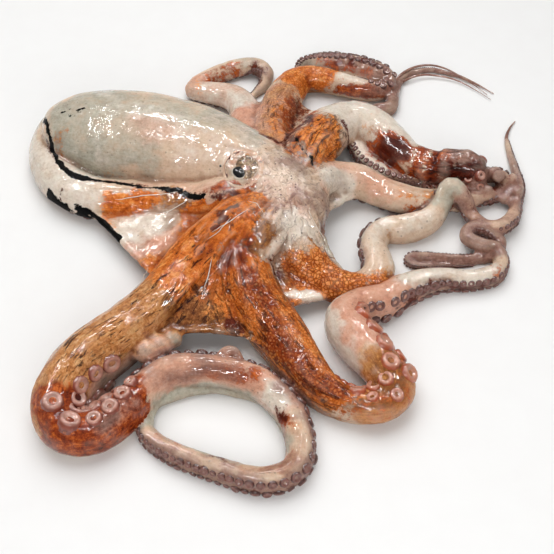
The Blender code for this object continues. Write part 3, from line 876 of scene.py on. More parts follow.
SETTLING = 9  # rounds of averaging with the neighbours, which looks about 6 mm round a point
edges = np.empty(len(skin.data.edges) * 2, np.int32)
skin.data.edges.foreach_get("vertices", edges)
edges = edges.reshape(-1, 2)
here, there = np.concatenate([edges, edges[:, ::-1]]).T
neighbours = np.bincount(here, minlength=len(skin_at))
settled = skin_at
for _ in range(SETTLING):
    sums = [np.bincount(here, settled[there, axis], len(skin_at)) for axis in range(3)]
    settled = np.stack(sums, -1) / neighbours[:, None]
# painted shade where the skin dips below the average of its neighbours, painted light where it rises to a
# ridge
dip = ((settled - skin_at) * outward).sum(1)
hollow = ease(dip, 0.1, 1.1)
painted_ridge_light = ease(-dip, 0.3, 1.3)
# painted shade on skin that faces down, toward the table
below = ease(outward[:, 2], 0.35, -0.45)
under = np.zeros(len(skin_at))
for name, line in LINES.items():
    turn_of_roll = np.degrees(np.interp(places[name][1], line[3], line[2]))
    turned = np.abs((side[name] + 0.4 * torn_turn - turn_of_roll) % 360 - 180)
    under += own[name] * ease(turned, 88, 48) * ease(places[name][1], 60, 120)
print(f"relief from {relief.min():.1f} to {relief.max():.1f} mm, top {skin_at[:, 2].max():.1f} mm")

# %% [markdown]
# ## Pigments
#
# The animal's colours are in patches: cream flesh, a green-grey bloom on the mantle, orange and
# rust on the front arms, wine-brown in the hollows, mauve towards the tips, and black ink along the
# mantle's edge. Some of the wine-brown and black is painted shade. Along the mantle's edge a black
# line is ink and painted shadow of the gap under the mantle, with a soft band of painted shade
# beside it. A black strip is painted shadow where the left arm meets the table, and a wine-brown
# line is the painted shadow of a web on the front arm. Painting by hand would give each patch a
# soft, equal edge. Here each patch is
# written down as a place on an arm or on the skin, and the material breaks its edge up with noise.
# So a table of places says where a pigment is, and the material says what it looks like.


# %% Where each pigment lies
# pigment, arm, from, to, facing (0 up, 90 to the arm's right), reach in degrees, strength
BANDS = (
    ("grey", "body", 10, 130, 40, 60, 0.8),
    ("grey", "body", 20, 215, -30, 40, 0.7),
    ("pale", "body", 60, 240, 20, 60, 0.35),
    ("pink", "body", 150, 290, 20, 60, 0.25),
    ("ochre", "body", 70, 200, 104, 12, 0.5),
    ("rust", "body", 22, 40, 66, 14, 0.5),
    ("rust", "body", 140, 154, 84, 10, 0.5),
    ("grey", "body", 232, 300, 0, 180, 0.35),
    ("orange", "left", 98, 146, -42, 34, 1.3),
    ("rust", "left", 104, 140, -60, 16, 0.5),
    ("pink", "left", 20, 120, -50, 90, 0.4),
    ("pink", "left", 150, 184, -60, 40, 0.6),
    ("ochre", "left", 50, 98, -50, 40, 1.0),
    ("pale", "left", 150, 270, -60, 90, 1.0),
    ("pale", "left", 90, 150, -110, 25, 0.7),
    ("grey", "left", 262, 422, 0, 180, 0.6),
    ("pink", "front_left", 60, 210, 108, 40, 1.2),
    ("orange", "front_left", 25, 135, 30, 85, 1.0),
    ("tan", "front_left", 60, 280, 10, 100, 1.3),
    ("mauve", "front_left", 165, 245, -92, 26, 0.6),
    ("orange", "front_left", 30, 120, 50, 40, 1.2),
    ("ochre", "front_left", 95, 235, -30, 50, 0.15),
    ("ochre", "front_left", 60, 150, -85, 35, 0.85),
    ("bare", "front_left", 158, 255, -84, 30, 0.8),
    ("pink", "front_left", 150, 262, -80, 36, 0.6),
    ("grey", "front_left", 140, 240, -88, 30, 0.8),
    ("rust", "front_left", 30, 70, 5, 34, 0.45),
    ("orange", "front_left", 15, 62, 30, 70, 1.5),
    ("orange", "front_left", 34, 80, 82, 40, 1.7),
    ("maroon", "front_left", 42, 60, 0, 16, 0.75),
    ("pink", "front_left", 205, 280, -50, 50, 0.7),
    ("tan", "front_left", 200, 285, 40, 90, 1.1),
    ("rust", "front_left", 256, 350, -30, 80, 1.7),
    ("mauve", "front_left", 300, 345, 22, 26, 0.6),
    ("rust", "front_left", 278, 345, 60, 55, 1.6),
    ("maroon", "front_left", 250, 350, -75, 34, 1.1),
    ("pink", "front_left", 345, 500, 0, 80, 0.9),
    ("mauve", "front_left", 350, 436, 30, 40, 0.55),
    ("rust", "front_left", 400, 446, 38, 26, 0.9),
    ("rust", "front_left", 428, 458, 30, 28, 0.75),
    ("maroon", "front_left", 486, 512, 40, 24, 0.95),
    ("mauve", "front_left", 505, 560, -66, 30, 1.0),
    ("pale", "front_left", 460, 498, 25, 50, 0.9),
    ("grey", "front_left", 350, 520, 95, 45, 1.2),
    ("rust", "front_left", 490, 516, 40, 28, 1.2),
    ("mauve", "front_left", 345, 700, -45, 50, 0.6),
    ("pink", "front_left", 500, 690, 40, 60, 0.35),
    ("grey", "front_left", 520, 700, 85, 50, 1.1),
    ("grey", "front_left", 680, 860, 0, 180, 0.95),
    ("rust", "front_left", 540, 575, 30, 34, 0.6),
    ("maroon", "front_left", 596, 622, 50, 26, 0.6),
    ("rust", "front_left", 640, 690, 55, 30, 0.55),
    ("mauve", "front_left", 505, 640, 88, 26, 0.7),
    ("mauve", "front_left", 518, 640, 0, 46, 0.5),
    ("tan", "front_left", 505, 600, 10, 30, 0.5),
    ("maroon", "front_left", 360, 700, -95, 30, 0.5),
    ("ochre", "front", 25, 75, -10, 60, 1.1),
    ("rust", "front", 44, 84, 12, 44, 0.85),
    ("maroon", "front", 52, 76, 14, 26, 0.75),
    ("orange", "front", 70, 240, 0, 80, 1.2),
    ("rust", "front", 78, 130, -8, 30, 1.2),
    ("rust", "front", 125, 235, 22, 36, 1.0),
    # painted shadow: a wine-brown line on the front arm's side, under the edge of its web
    ("maroon", "front", 130, 240, 66, 14, 0.7),
    ("orange", "front", 75, 200, 50, 34, 1.2),
    ("ochre", "front", 75, 230, 95, 30, 0.8),
    ("maroon", "front", 80, 150, -66, 16, 0.45),
    ("tan", "front", 165, 300, -45, 45, 0.7),
    ("ochre", "front", 185, 290, 10, 60, 0.9),
    ("rust", "front", 225, 300, 60, 50, 0.55),
    ("tan", "front", 245, 292, 0, 180, 1.3),
    ("pink", "front", 300, 410, 0, 180, 1.3),
    ("orange", "front", 300, 350, 80, 30, 0.4),
    ("rust", "front", 280, 352, 85, 36, 0.8),
    ("pale", "front", 288, 402, -84, 34, 1.1),
    ("pale", "front", 395, 505, -15, 60, 0.95),
    ("grey", "front", 420, 530, -40, 45, 0.55),
    ("maroon", "front", 385, 500, 78, 34, 0.75),
    ("rust", "front", 488, 520, 30, 80, 0.5),
    ("mauve", "front", 510, 760, 0, 180, 0.9),
    ("orange", "right_front", 50, 114, 20, 70, 1.2),
    ("ochre", "right_front", 52, 125, 75, 34, 1.1),
    ("grey", "right_front", 25, 140, -90, 34, 0.7),
    ("pale", "right_front", 135, 250, 0, 80, 0.5),
    ("pink", "right_front", 140, 240, -50, 45, 0.5),
    ("mauve", "right_front", 138, 205, -85, 30, 0.75),
    ("ochre", "right_front", 178, 202, 62, 30, 0.5),
    ("grey", "right_front", 245, 290, 0, 180, 0.7),
    ("pink", "right_front", 280, 400, 0, 180, 0.6),
    ("mauve", "right_front", 280, 512, 0, 180, 0.6),
    ("maroon", "right_front", 286, 312, 0, 70, 0.45),
    ("rust", "right_front", 412, 430, 0, 100, 0.5),
    ("pink", "right", 20, 145, 20, 70, 0.55),
    ("mauve", "right", 26, 75, 62, 40, 0.2),
    ("orange", "right", 122, 162, 40, 50, 0.3),
    ("rust", "right", 128, 175, 60, 40, 0.8),
    ("maroon", "right", 150, 200, 30, 60, 0.5),
    ("ochre", "right", 128, 165, 0, 40, 0.5),
    ("pink", "right", 190, 300, 0, 180, 0.5),
    ("mauve", "right", 190, 330, 0, 180, 0.6),
    ("rust", "right", 205, 255, 60, 60, 0.6),
    ("maroon", "right", 205, 330, -60, 70, 0.55),
    ("orange", "back_right", 18, 82, 20, 80, 0.65),
    ("rust", "back_right", 16, 92, -40, 40, 0.75),
    ("ochre", "back_right", 20, 84, 50, 70, 1.0),
    ("maroon", "back_right", 18, 80, -35, 30, 0.75),
    ("pale", "back_right", 88, 215, 0, 90, 0.95),
    ("ochre", "back_right", 150, 210, 60, 40, 0.45),
    ("rust", "back_right", 160, 235, 92, 32, 1.0),
    ("rust", "back_right", 218, 258, 10, 130, 1.0),
    ("maroon", "back_right", 244, 300, 70, 50, 1.1),
    ("mauve", "back_right", 252, 310, -10, 90, 1.2),
    ("maroon", "back_right", 262, 345, 60, 80, 0.8),
    ("mauve", "back_right", 300, 370, 0, 180, 0.8),
    ("pale", "back_right", 366, 432, 0, 60, 1.0),
    ("maroon", "back_right", 360, 436, -85, 36, 0.8),
    ("mauve", "back_right", 436, 656, 0, 180, 0.85),
    ("pink", "back", 18, 135, -20, 80, 1.0),
    ("tan", "back", 30, 150, 20, 70, 0.6),
    ("orange", "back", 36, 120, 40, 50, 0.6),
    ("rust", "back", 40, 135, 62, 36, 0.8),
    ("maroon", "back", 90, 135, 70, 30, 0.5),
    ("orange", "back", 142, 212, 20, 75, 1.3),
    ("ochre", "back", 155, 216, 92, 40, 0.9),
    ("pale", "back", 212, 242, -8, 38, 0.9),
    ("rust", "back", 214, 268, 64, 48, 1.0),
    ("rust", "back", 240, 275, 0, 60, 0.6),
    ("mauve", "back", 244, 300, 0, 90, 0.6),
    ("pink", "back", 290, 380, 0, 100, 0.4),
    ("rust", "back", 285, 350, -50, 40, 0.75),
    ("maroon", "back", 300, 330, -20, 24, 0.8),
    ("grey", "back", 330, 380, -60, 50, 0.8),
    ("maroon", "back", 285, 380, 60, 70, 0.7),
    ("pale", "back_left", 110, 200, -20, 110, 0.6),
    ("pink", "back_left", 30, 130, 0, 100, 1.0),
    ("pink", "back_left", 130, 212, 0, 100, 0.8),
    ("rust", "back_left", 60, 130, 80, 40, 0.5),
    ("orange", "back_left", 178, 206, 0, 110, 0.35),
    ("rust", "back_left", 206, 262, 60, 70, 0.7),
    ("maroon", "back_left", 262, 310, 60, 70, 0.6),
    ("grey", "back_left", 246, 278, 0, 70, 0.7),
    ("mauve", "back_left", 262, 320, 0, 180, 0.6),
)
# pigment, x, y, half length and half width in mm, turn of its length in degrees, strength
SPOTS = (
    ("grey", -177, 52, 30, 22, -20, 0.8),
    ("grey", -150, 94, 34, 13, -8, 0.75),
    ("grey", -89, 77, 24, 12, -20, 0.55),
    ("grey", -160, 36, 34, 11, 0, 0.6),
    ("pink", -120, 54, 34, 14, -12, 0.6),
    ("ochre", -206, 62, 8, 7, 0, 0.6),
    ("mauve", 36, -20, 30, 18, 0, 0.65),
    ("mauve", -12, 8, 20, 9, -30, 0.35),
    ("grey", 8, -18, 26, 20, 0, 0.35),
    ("pale", -44, -54, 26, 7, 35, 0.75),
    ("pink", 0, -30, 34, 30, 0, 0.5),
    ("rust", -50, -6, 26, 6, -8, 0.9),
    ("rust", -30, -10, 9, 5, 0, 0.8),
    ("maroon", -54, -14, 20, 5, -6, 0.7),
    ("rust", -64, -76, 12, 7, 60, 0.7),
    ("bare", -122, -34, 38, 26, 20, 1.2),
    ("bare", -100, 36, 60, 26, -15, 0.5),
    ("orange", -78, -24, 9, 11, 0, 1.2),
    ("maroon", -40, -134, 8, 12, 60, 0.8),
    ("orange", -114, -54, 9, 9, 0, 0.8),
    ("orange", -120, -62, 16, 20, 0, 0.9),
    ("orange", -64, -86, 20, 26, 60, 0.8),
    ("grey", -98, -153, 24, 9, 42, 1.1),
    ("bare", -99, -155, 20, 9, 42, 0.8),
    ("pink", -104, -160, 22, 8, 42, 0.45),
    ("ochre", -70, -112, 36, 22, 50, 1.3),
    ("ochre", -51, -112, 26, 24, 50, 1.2),
    ("rust", -58, -100, 24, 12, 60, 0.5),
    ("maroon", -44, -100, 14, 6, 70, 0.5),
    ("pink", -66, -136, 34, 5, 8, 0.6),
    ("pale", -122, -26, 34, 18, 20, 1.0),
    ("pink", -122, -44, 26, 14, 20, 0.6),
    ("orange", -112, -66, 12, 14, 0, 1.1),
    ("ochre", 10, -82, 22, 14, 30, 0.85),
    ("pale", 20, -101, 22, 6, -8, 1.0),
    ("bare", 20, -102, 22, 5, -8, 1.0),
    ("tan", 10, -88, 20, 10, 20, 1.0),
    ("pale", -6, -66, 8, 14, -30, 0.5),
    ("pale", 12, -46, 20, 12, -30, 0.9),
    ("pale", 50, 14, 22, 14, 20, 1.0),
    ("pale", 6, -52, 14, 9, 0, 0.9),
    ("bare", 6, -52, 12, 8, 0, 0.8),
    ("pale", 38, -56, 12, 7, 0, 0.8),
    ("orange", -80, -15, 11, 8, 0, 1.3),
    ("pale", 4, -58, 9, 4, 50, 0.9),
    ("pale", -12, -72, 9, 3, 50, 0.8),
    ("mauve", 10, 12, 26, 14, 0, 0.6),
    ("mauve", -14, -32, 16, 9, 20, 0.4),
    ("maroon", -2, -80, 18, 8, -30, 0.7),
    ("rust", 103, 69, 25, 13, -35, 1.1),
    ("maroon", 104, 67, 18, 8, -35, 0.95),
    ("maroon", 60, 84, 5, 14, 20, 0.7),
    ("grey", 42, -42, 26, 7, -60, 0.7),
)
# pigment, half width in mm, strength, highest z, places (x, y) along it
STROKES = (
    # painted shade: a soft wine-brown band along the mantle's edge, where it overhangs the left arm
    ("maroon", 3.6, 0.6, 99,
     ((-222, 86), (-210, 50), (-190, 27), (-160, 19), (-119, 12), (-80, -2), (-66, -8))),
    # the black line along the mantle's edge: ink, and painted shadow of the gap under the mantle
    ("ink_and_painted_shadow", 1.7, 1.2, 99, ((-224, 92), (-220, 80), (-214, 62), (-207, 46))),
    ("ink_and_painted_shadow", 3.4, 1.2, 99, ((-206, 46), (-198, 34), (-188, 26), (-178, 23))),
    ("ink_and_painted_shadow", 1.8, 1.2, 99, ((-178, 23), (-166, 20), (-150, 17), (-138, 15))),
    ("ink_and_painted_shadow", 1.4, 0.9, 99, ((-138, 15), (-119, 12), (-106, 9))),
    ("ink_and_painted_shadow", 2.6, 1.0, 99, ((-108, 9), (-98, 7), (-90, 4))),
    ("ink_and_painted_shadow", 2.6, 1.0, 99, ((-86, 2), (-78, -4), (-70, -8))),
    # painted shadow: a black strip along the left arm's outer edge, where it meets the table
    ("ink_and_painted_shadow", 3.4, 1.4, 24,
     ((-214, 18), (-208, 10), (-201, 4), (-190, -2), (-181, -5), (-172, -8), (-162, -17), (-152, -28),
      (-146, -37))),
    ("ink_and_painted_shadow", 1.5, 0.8, 99, ((12, 48), (15, 40), (20, 30), (27, 21))),
    ("ink_and_painted_shadow", 1.2, 0.7, 99, ((-204, 84), (-196, 86), (-186, 82), (-178, 84))),
    ("ink_and_painted_shadow", 1.2, 0.6, 99, ((-196, 78), (-190, 80), (-184, 76))),
    ("maroon", 3.0, 0.8, 99, ((-18, 56), (-6, 50), (8, 46), (14, 50))),
    ("maroon", 1.0, 0.9, 99, ((-196, 19), (-200, 13), (-201, 7))),
    ("maroon", 0.9, 0.8, 99, ((9, -46), (4, -53), (4, -59))),
    ("mauve", 0.9, 0.9, 99, ((15, -15), (4, -27), (-5, -37), (-11, -45))),
    ("maroon", 1.6, 1.0, 99, ((-52, -43), (-46, -39), (-38, -36))),
    ("maroon", 1.6, 1.0, 99, ((-57, -57), (-50, -51), (-44, -48))),
    ("ochre", 1.2, 0.9, 99, ((20, -55), (30, -60), (42, -56), (54, -52))),
    ("rust", 2.2, 1.2, 99, ((156, 60), (146, 50), (134, 42), (124, 32))),
    ("bare", 1.1, 0.8, 99, ((146, 68), (138, 56), (130, 44), (126, 34))),
    ("pale", 1.1, 0.7, 99, ((146, 68), (138, 56), (130, 44), (126, 34))),
    ("maroon", 1.3, 0.9, 99, ((153, 66), (146, 56), (137, 42), (132, 32))),
    ("mauve", 4.0, 0.8, 99, ((164, 60), (160, 50), (153, 40))),
    ("rust", 2.0, 0.9, 99, ((-104, 26), (-98, 25), (-92, 28), (-88, 24))),
)

pigments = {name: np.zeros(len(skin_at)) for name in
            ("orange", "rust", "maroon", "ink_and_painted_shadow", "grey", "pink", "pale", "ochre", "mauve", "tan", "bare")}


def deposit(name, amount):
    """Lays a pigment where more of it is asked for than is there."""
    pigments[name] = np.maximum(pigments[name], amount)


for name, arm, start, end, facing, reach, strength in BANDS:
    deposit(name, strength * band(arm, start, end, facing, reach))
for name, x, y, half_length, half_width, tilt, strength in SPOTS:
    a = math.radians(tilt)
    dx, dy = skin_at[:, 0] + torn_place[0] - x, skin_at[:, 1] + torn_place[1] - y
    lengthwise = (dx * math.cos(a) + dy * math.sin(a)) / half_length
    widthwise = (dy * math.cos(a) - dx * math.sin(a)) / half_width
    deposit(name, strength * ease(np.hypot(lengthwise, widthwise), 1.5, 0.4))
for name, half_width, strength, highest, stops in STROKES:
    path, _ = along([(x, y, 0) for x, y in stops], 1.0)
    wander = skin_at[:, :2] + 0.5 * torn_place.T
    gap = np.linalg.norm(wander[:, None] - path[None, :, :2], axis=2).min(1)
    low_enough = ease(skin_at[:, 2], highest + 3, highest - 3)
    deposit(name, strength * low_enough * ease(gap, 1.6 * half_width, 0.4 * half_width))
for name in ("orange", "rust", "ochre", "tan", "maroon", "mauve"):
    pigments[name] *= np.clip(1 - pigments["bare"], 0, 1)

# pattern, arm, from, to, facing, reach in degrees, strength
PATTERNS = (
    ("net", "right_front", 46, 116, 15, 80, 1.0),
    ("net", "front", 80, 240, -10, 90, 0.6),
    ("net", "back", 40, 210, 20, 90, 0.5),
    ("net", "front_left", 60, 250, 0, 90, 0.15),
    ("cracks", "front_left", 62, 250, 0, 90, 1.0),
    ("cracks", "front", 70, 240, 20, 90, 0.8),
    ("cracks", "back_right", 20, 92, 0, 90, 0.9),
    ("cracks", "back_right", 222, 278, 0, 150, 1.0),
    ("cracks", "back", 40, 130, 30, 80, 0.7),
    ("cracks", "left", 50, 150, -50, 60, 0.4),
    ("specks", "right", 20, 150, 30, 90, 0.5),
    ("specks", "front", 340, 760, 0, 180, 0.6),
    ("specks", "front_left", 340, 700, 0, 180, 0.5),
    ("specks", "right_front", 130, 512, 0, 180, 0.6),
)
patterns = {"net": np.zeros(len(skin_at)), "cracks": np.zeros(len(skin_at))}
patterns["specks"] = np.maximum(1.1 * ease(crown_distance, 88, 36), 0.5 * own["body"])
for name, arm, start, end, facing, reach, strength in PATTERNS:
    laid = strength * band(arm, start, end, facing, reach)
    patterns[name] = np.maximum(patterns[name], laid)
for name in ("net", "cracks"):
    patterns[name] = patterns[name] * np.clip(1 - pigments["bare"], 0, 1)
print({name: round(float(amount.mean()), 3) for name, amount in pigments.items()})


# %% The pigments and patterns as attributes on the skin
def store_fields(mesh, name, fields):
    """Four fields of one number a point, as one colour attribute."""
    packed = np.stack(fields, -1).astype(np.float32)
    mesh.attributes.new(name, "FLOAT_COLOR", "POINT").data.foreach_set("color", packed.ravel())


def store_vector(mesh, name, vectors):
    """One vector a point."""
    values = vectors.astype(np.float32).ravel()
    mesh.attributes.new(name, "FLOAT_VECTOR", "POINT").data.foreach_set("vector", values)


store_fields(skin.data, "warm", [pigments[n] for n in ("orange", "rust", "maroon", "ink_and_painted_shadow")])
store_fields(skin.data, "cool", [pigments[n] for n in ("grey", "pink", "pale", "ochre")])
store_fields(skin.data, "muted", [pigments["tan"], pigments["mauve"],
                                  patterns["cracks"], patterns["specks"]])
store_fields(skin.data, "form", [hollow, painted_ridge_light, below, under])
store_vector(skin.data, "flow", flow)
store_vector(skin.data, "net", np.column_stack([patterns["net"]] * 3))

# %% [markdown]
# ## The skin's material
#
# Raw octopus skin is a thin clear mucus over pigment cells over milky muscle. Light goes into the
# muscle and comes out a few millimetres away, which is what subsurface scattering does. The mucus
# is a clear coat, smoother than the skin under it, and it gives the white glints. Its IOR of 1.45
# is above water's 1.33, to make the glints strong. Flesh under mucus hardly reflects at all, since
# the two bend light nearly alike, so the skin itself has an IOR of only 1.1. Clusters of pigment
# cells make spots a few millimetres across. Where they crowd together a patch is dark, and where
# they part the flesh shows through, so each pigment has a dark, a middle and a light tone.


# %% The skin
def times(tree, first, second, operation="MULTIPLY"):
    """Two sockets or numbers put through one sum."""
    values = {i: v for i, v in enumerate((first, second)) if isinstance(v, float)}
    links = {i: v for i, v in enumerate((first, second)) if not isinstance(v, float)}
    return add_node(tree, "Math", values, links, operation=operation).outputs[0]


def around(tree, source, strength):
    """A noise's value, made to swing about 0 by its strength."""
    return times(tree, times(tree, source, 0.5, "SUBTRACT"), strength)


def step(tree, source, low, high, to_low=0.0, to_high=1.0):
    """A smooth step from to_low, where the source is at low, to to_high, where it is at high."""
    return add_node(tree, "MapRange", {"From Min": low, "From Max": high, "To Min": to_low,
                                       "To Max": to_high},
                    {"Value": source}, interpolation_type="SMOOTHSTEP").outputs[0]


def blend(tree, factor, first, second, mode="MIX"):
    """Mixes two colours, each a hex code or a socket, by a socket or a number."""
    values, links = {}, {}
    for socket, value in ((0, factor), (6, first), (7, second)):
        if isinstance(value, str):
            values[socket] = colour(value)
        elif isinstance(value, float):
            values[socket] = value
        else:
            links[socket] = value
    made = add_node(tree, "Mix", values, links, data_type="RGBA", blend_type=mode)
    return made.outputs[2]


def crowded(tree, amount, tones):
    """A pigment's dark, middle and light tones, by how far its cells lie apart."""
    made = add_node(tree, "ValToRGB", links={0: amount})
    stops = made.color_ramp.elements
    stops[0].position = 0.18
    stops[1].position = 0.82
    stops.new(0.5)
    for stop, tone in zip(stops, tones):
        stop.color = colour(tone)
    return made.outputs[0]


# dark, middle and light
PIGMENTS = {
    "flesh": ("#bd9c83", "#dcc0a6", "#edd9c4"),
    "grey": ("#8b8678", "#b2ac9b", "#d1cab9"),
    "pink": ("#b07560", "#d99f84", "#edc3ab"),
    "pale": ("#bda995", "#e2d4c4", "#f6eee2"),
    "tan": ("#94552c", "#c9874e", "#e6b37e"),
    "mauve": ("#4f3029", "#8f685b", "#bd9d90"),
    "ochre": ("#4a2810", "#95592c", "#cc9150"),
    "orange": ("#9c4410", "#d8732a", "#f3a65c"),
    "rust": ("#451405", "#8f3610", "#cf6c2c"),
    "maroon": ("#1c0603", "#4c160b", "#853a25"),
    "ink_and_painted_shadow": ("#010101", "#040303", "#0d0a09"),
}


def per_metre(size):
    """The scale of a noise or cell pattern whose features are size millimetres apart.

    Object coordinates are metres, so a metre holds 1000 / size of them.
    """
    return 1000.0 / size


skin_material, tree, surface = new_material("wet_octopus_skin")
place = add_node(tree, "TexCoord").outputs["Object"]
fields = {}
for name, parts in (
    ("warm", ("orange", "rust", "maroon", "ink_and_painted_shadow")),
    ("cool", ("grey", "pink", "pale", "ochre")),
    ("muted", ("tan", "mauve", "cracks", "specks")),
    ("form", ("hollow", "painted_ridge_light", "below", "under")),
):
    field = add_node(tree, "Attribute", attribute_name=name)
    split = add_node(tree, "SeparateColor", links={0: field.outputs["Color"]})
    for part, socket in zip(parts, (*split.outputs, field.outputs["Alpha"])):
        fields[part] = socket
fields["net"] = add_node(tree, "Attribute", attribute_name="net").outputs["Fac"]
flow_at = add_node(tree, "Attribute", attribute_name="flow").outputs["Vector"]

broad = add_node(tree, "TexNoise", {"Scale": per_metre(26), "Detail": 3.0},
                 {"Vector": place}).outputs["Fac"]
ragged = add_node(tree, "TexNoise", {"Scale": per_metre(9), "Detail": 6.0, "Roughness": 0.68},
                  {"Vector": place}).outputs["Fac"]
fine = add_node(tree, "TexNoise", {"Scale": per_metre(2.6), "Detail": 4.0, "Roughness": 0.7},
                {"Vector": place}).outputs["Fac"]
# streaks along an arm: 22 mm long and 1.8 mm apart
stretch = add_node(tree, "Mapping", {"Scale": (1 / 22, 1 / 1.8, 1 / 1.8)}, {"Vector": flow_at})
streaks = add_node(tree, "TexNoise", {"Scale": 1.0, "Detail": 3.0, "Roughness": 0.6},
                   {"Vector": stretch.outputs[0]}).outputs["Fac"]
# cracks: 16 mm long and 4 mm apart
crack_stretch = add_node(tree, "Mapping", {"Scale": (1 / 16, 1 / 4, 1 / 4)}, {"Vector": flow_at})
crack_noise = add_node(tree, "TexNoise", {"Scale": 1.0, "Detail": 5.0, "Roughness": 0.65,
                                          "Distortion": 0.9}, {"Vector": crack_stretch.outputs[0]})
crack_mask = times(tree, step(tree, crack_noise.outputs["Fac"], 0.46, 0.38), fields["cracks"])

edge = times(tree, around(tree, ragged, 2.2), around(tree, fine, 0.9), "ADD")
soft_edge = times(tree, around(tree, broad, 1.4), around(tree, ragged, 0.9), "ADD")
apart = times(tree, times(tree, around(tree, ragged, 1.5), around(tree, fine, 1.1), "ADD"),
              around(tree, streaks, 0.5), "ADD")
warm_apart = times(tree, apart, 0.5, "ADD")
cool_apart = times(tree, times(tree, apart, 0.55), 0.5, "ADD")

# each pigment in the order it is laid: its noise, where it starts and where it is whole
LAYERS = (
    ("grey", soft_edge, cool_apart, 0.1, 0.95),
    ("pink", soft_edge, cool_apart, 0.1, 0.95),
    ("pale", soft_edge, cool_apart, 0.15, 0.9),
    ("tan", soft_edge, warm_apart, 0.15, 0.85),
    ("ochre", edge, warm_apart, 0.2, 0.9),
    ("orange", edge, warm_apart, 0.25, 0.75),
    ("rust", edge, warm_apart, 0.35, 0.85),
    ("mauve", soft_edge, cool_apart, 0.15, 0.85),
    ("maroon", edge, cool_apart, 0.35, 0.8),
    ("ink_and_painted_shadow", edge, cool_apart, 0.4, 0.62),
)
tone = crowded(tree, cool_apart, PIGMENTS["flesh"])
under_mask = step(tree, times(tree, fields["under"], soft_edge, "ADD"), 0.25, 0.8, 0.0, 0.8)
tone = blend(tree, under_mask, tone, crowded(tree, cool_apart, PIGMENTS["mauve"]))
masks = {}
for name, torn_by, amount, low, high in LAYERS:
    laid = step(tree, times(tree, fields[name], torn_by, "ADD"), low, high)
    masks[name] = times(tree, laid, step(tree, fields[name], 0.02, 0.2))
    if name == "ink_and_painted_shadow":
        continue
    tone = blend(tree, masks[name], tone, crowded(tree, amount, PIGMENTS[name]))

# the net: dark lines between pale cells 3.2 mm across
net_cells = add_node(tree, "TexVoronoi", {"Scale": per_metre(3.2)}, {"Vector": place},
                     feature="DISTANCE_TO_EDGE").outputs["Distance"]
net_lines = times(tree, step(tree, net_cells, 0.16, 0.02), fields["net"])
net_hearts = times(tree, step(tree, net_cells, 0.14, 0.34), fields["net"])
tone = blend(tree, times(tree, net_hearts, 0.4), tone, "#e8ae74")
tone = blend(tree, times(tree, net_lines, 0.7), tone, "#6b2c10")
tone = blend(tree, times(tree, crack_mask, 0.9), tone, "#36160c")

# specks: one dark dot in about every third cell of 4.5 mm
dots = add_node(tree, "TexVoronoi", {"Scale": per_metre(4.5)}, {"Vector": place})
dot_parts = add_node(tree, "SeparateColor", links={0: dots.outputs["Color"]})
chosen = add_node(tree, "Math", {1: 0.62}, {0: dot_parts.outputs[0]}, operation="GREATER_THAN")
speck_mask = times(tree, step(tree, dots.outputs["Distance"], 0.24, 0.12), chosen.outputs[0])
tone = blend(tree, times(tree, times(tree, speck_mask, fields["specks"]), 0.75), tone, "#4f3733")

# creases of the loose skin on the crown: fine bent lines 8 mm apart, darkened as painted shade in their
# valleys
crown = step(tree, fields["specks"], 0.55, 1.0)
folded = add_node(tree, "TexNoise", {"Scale": per_metre(8), "Detail": 1.0, "Roughness": 0.4,
                                     "Distortion": 1.4}, {"Vector": place})
off_middle = times(tree, around(tree, folded.outputs["Fac"], 1.0), 0.0, "ABSOLUTE")
creases = times(tree, step(tree, off_middle, 0.035, 0.0), crown)
tone = blend(tree, times(tree, creases, 0.5), tone, "#7a5f55")

# painted shade in the dips, painted light on the ridges, and painted shade on skin that faces the table
tone = blend(tree, times(tree, fields["painted_ridge_light"], 0.16), tone, "#f6e3cf")
tone = blend(tree, times(tree, fields["hollow"], 0.7), tone, "#a8856f", "MULTIPLY")
tone = blend(tree, times(tree, fields["below"], 0.5), tone, "#b09684", "MULTIPLY")
tone = blend(tree, masks["ink_and_painted_shadow"], tone, crowded(tree, cool_apart, PIGMENTS["ink_and_painted_shadow"]))

# relief: cells and creases in the skin, and slower ripples in the mucus over it
height = times(tree, times(tree, fine, 0.5), times(tree, streaks, 0.25), "ADD")
height = times(tree, height, times(tree, crack_mask, -1.2), "ADD")
height = times(tree, height, times(tree, net_lines, -0.7), "ADD")
height = times(tree, height, times(tree, creases, -0.8), "ADD")
skin_bump = add_node(tree, "Bump", {"Strength": 0.9, "Distance": 0.0006}, {"Height": height})
ripples = add_node(tree, "TexNoise", {"Scale": per_metre(11), "Detail": 2.0, "Roughness": 0.45,
                                      "Distortion": 0.8}, {"Vector": place})
crown_height = times(tree, crown, times(tree, folded.outputs["Fac"], 1.3))
wet_height = times(tree, ripples.outputs["Fac"], crown_height, "ADD")
mucus_bump = add_node(tree, "Bump", {"Strength": 0.9, "Distance": 0.0013}, {"Height": wet_height})
roughness = step(tree, fine, 0.2, 0.8, 0.35, 0.6)
wet_film = step(tree, times(tree, broad, around(tree, ragged, 0.4), "ADD"), 0.42, 0.6, 0.3, 1.0)
wet_film = times(tree, wet_film, crown, "MAXIMUM")
wet_film = times(tree, wet_film, step(tree, masks["orange"], 0.0, 1.0, 1.0, 0.4))
wetness = times(tree, wet_film, step(tree, masks["ink_and_painted_shadow"], 0.0, 1.0, 1.0, 0.15))
shader = add_node(
    tree, "BsdfPrincipled",
    {"IOR": 1.1, "Subsurface Weight": 0.2, "Subsurface Scale": 0.003,
     "Coat Roughness": 0.04, "Coat IOR": 1.45},
    {"Base Color": tone, "Roughness": roughness, "Normal": skin_bump.outputs[0],
     "Coat Normal": mucus_bump.outputs[0], "Coat Weight": wetness},
)
shader.inputs["Subsurface Radius"].default_value = (1.0, 0.45, 0.3)
tree.links.new(shader.outputs[0], surface)
skin.data.materials.clear()
skin.data.materials.append(skin_material)
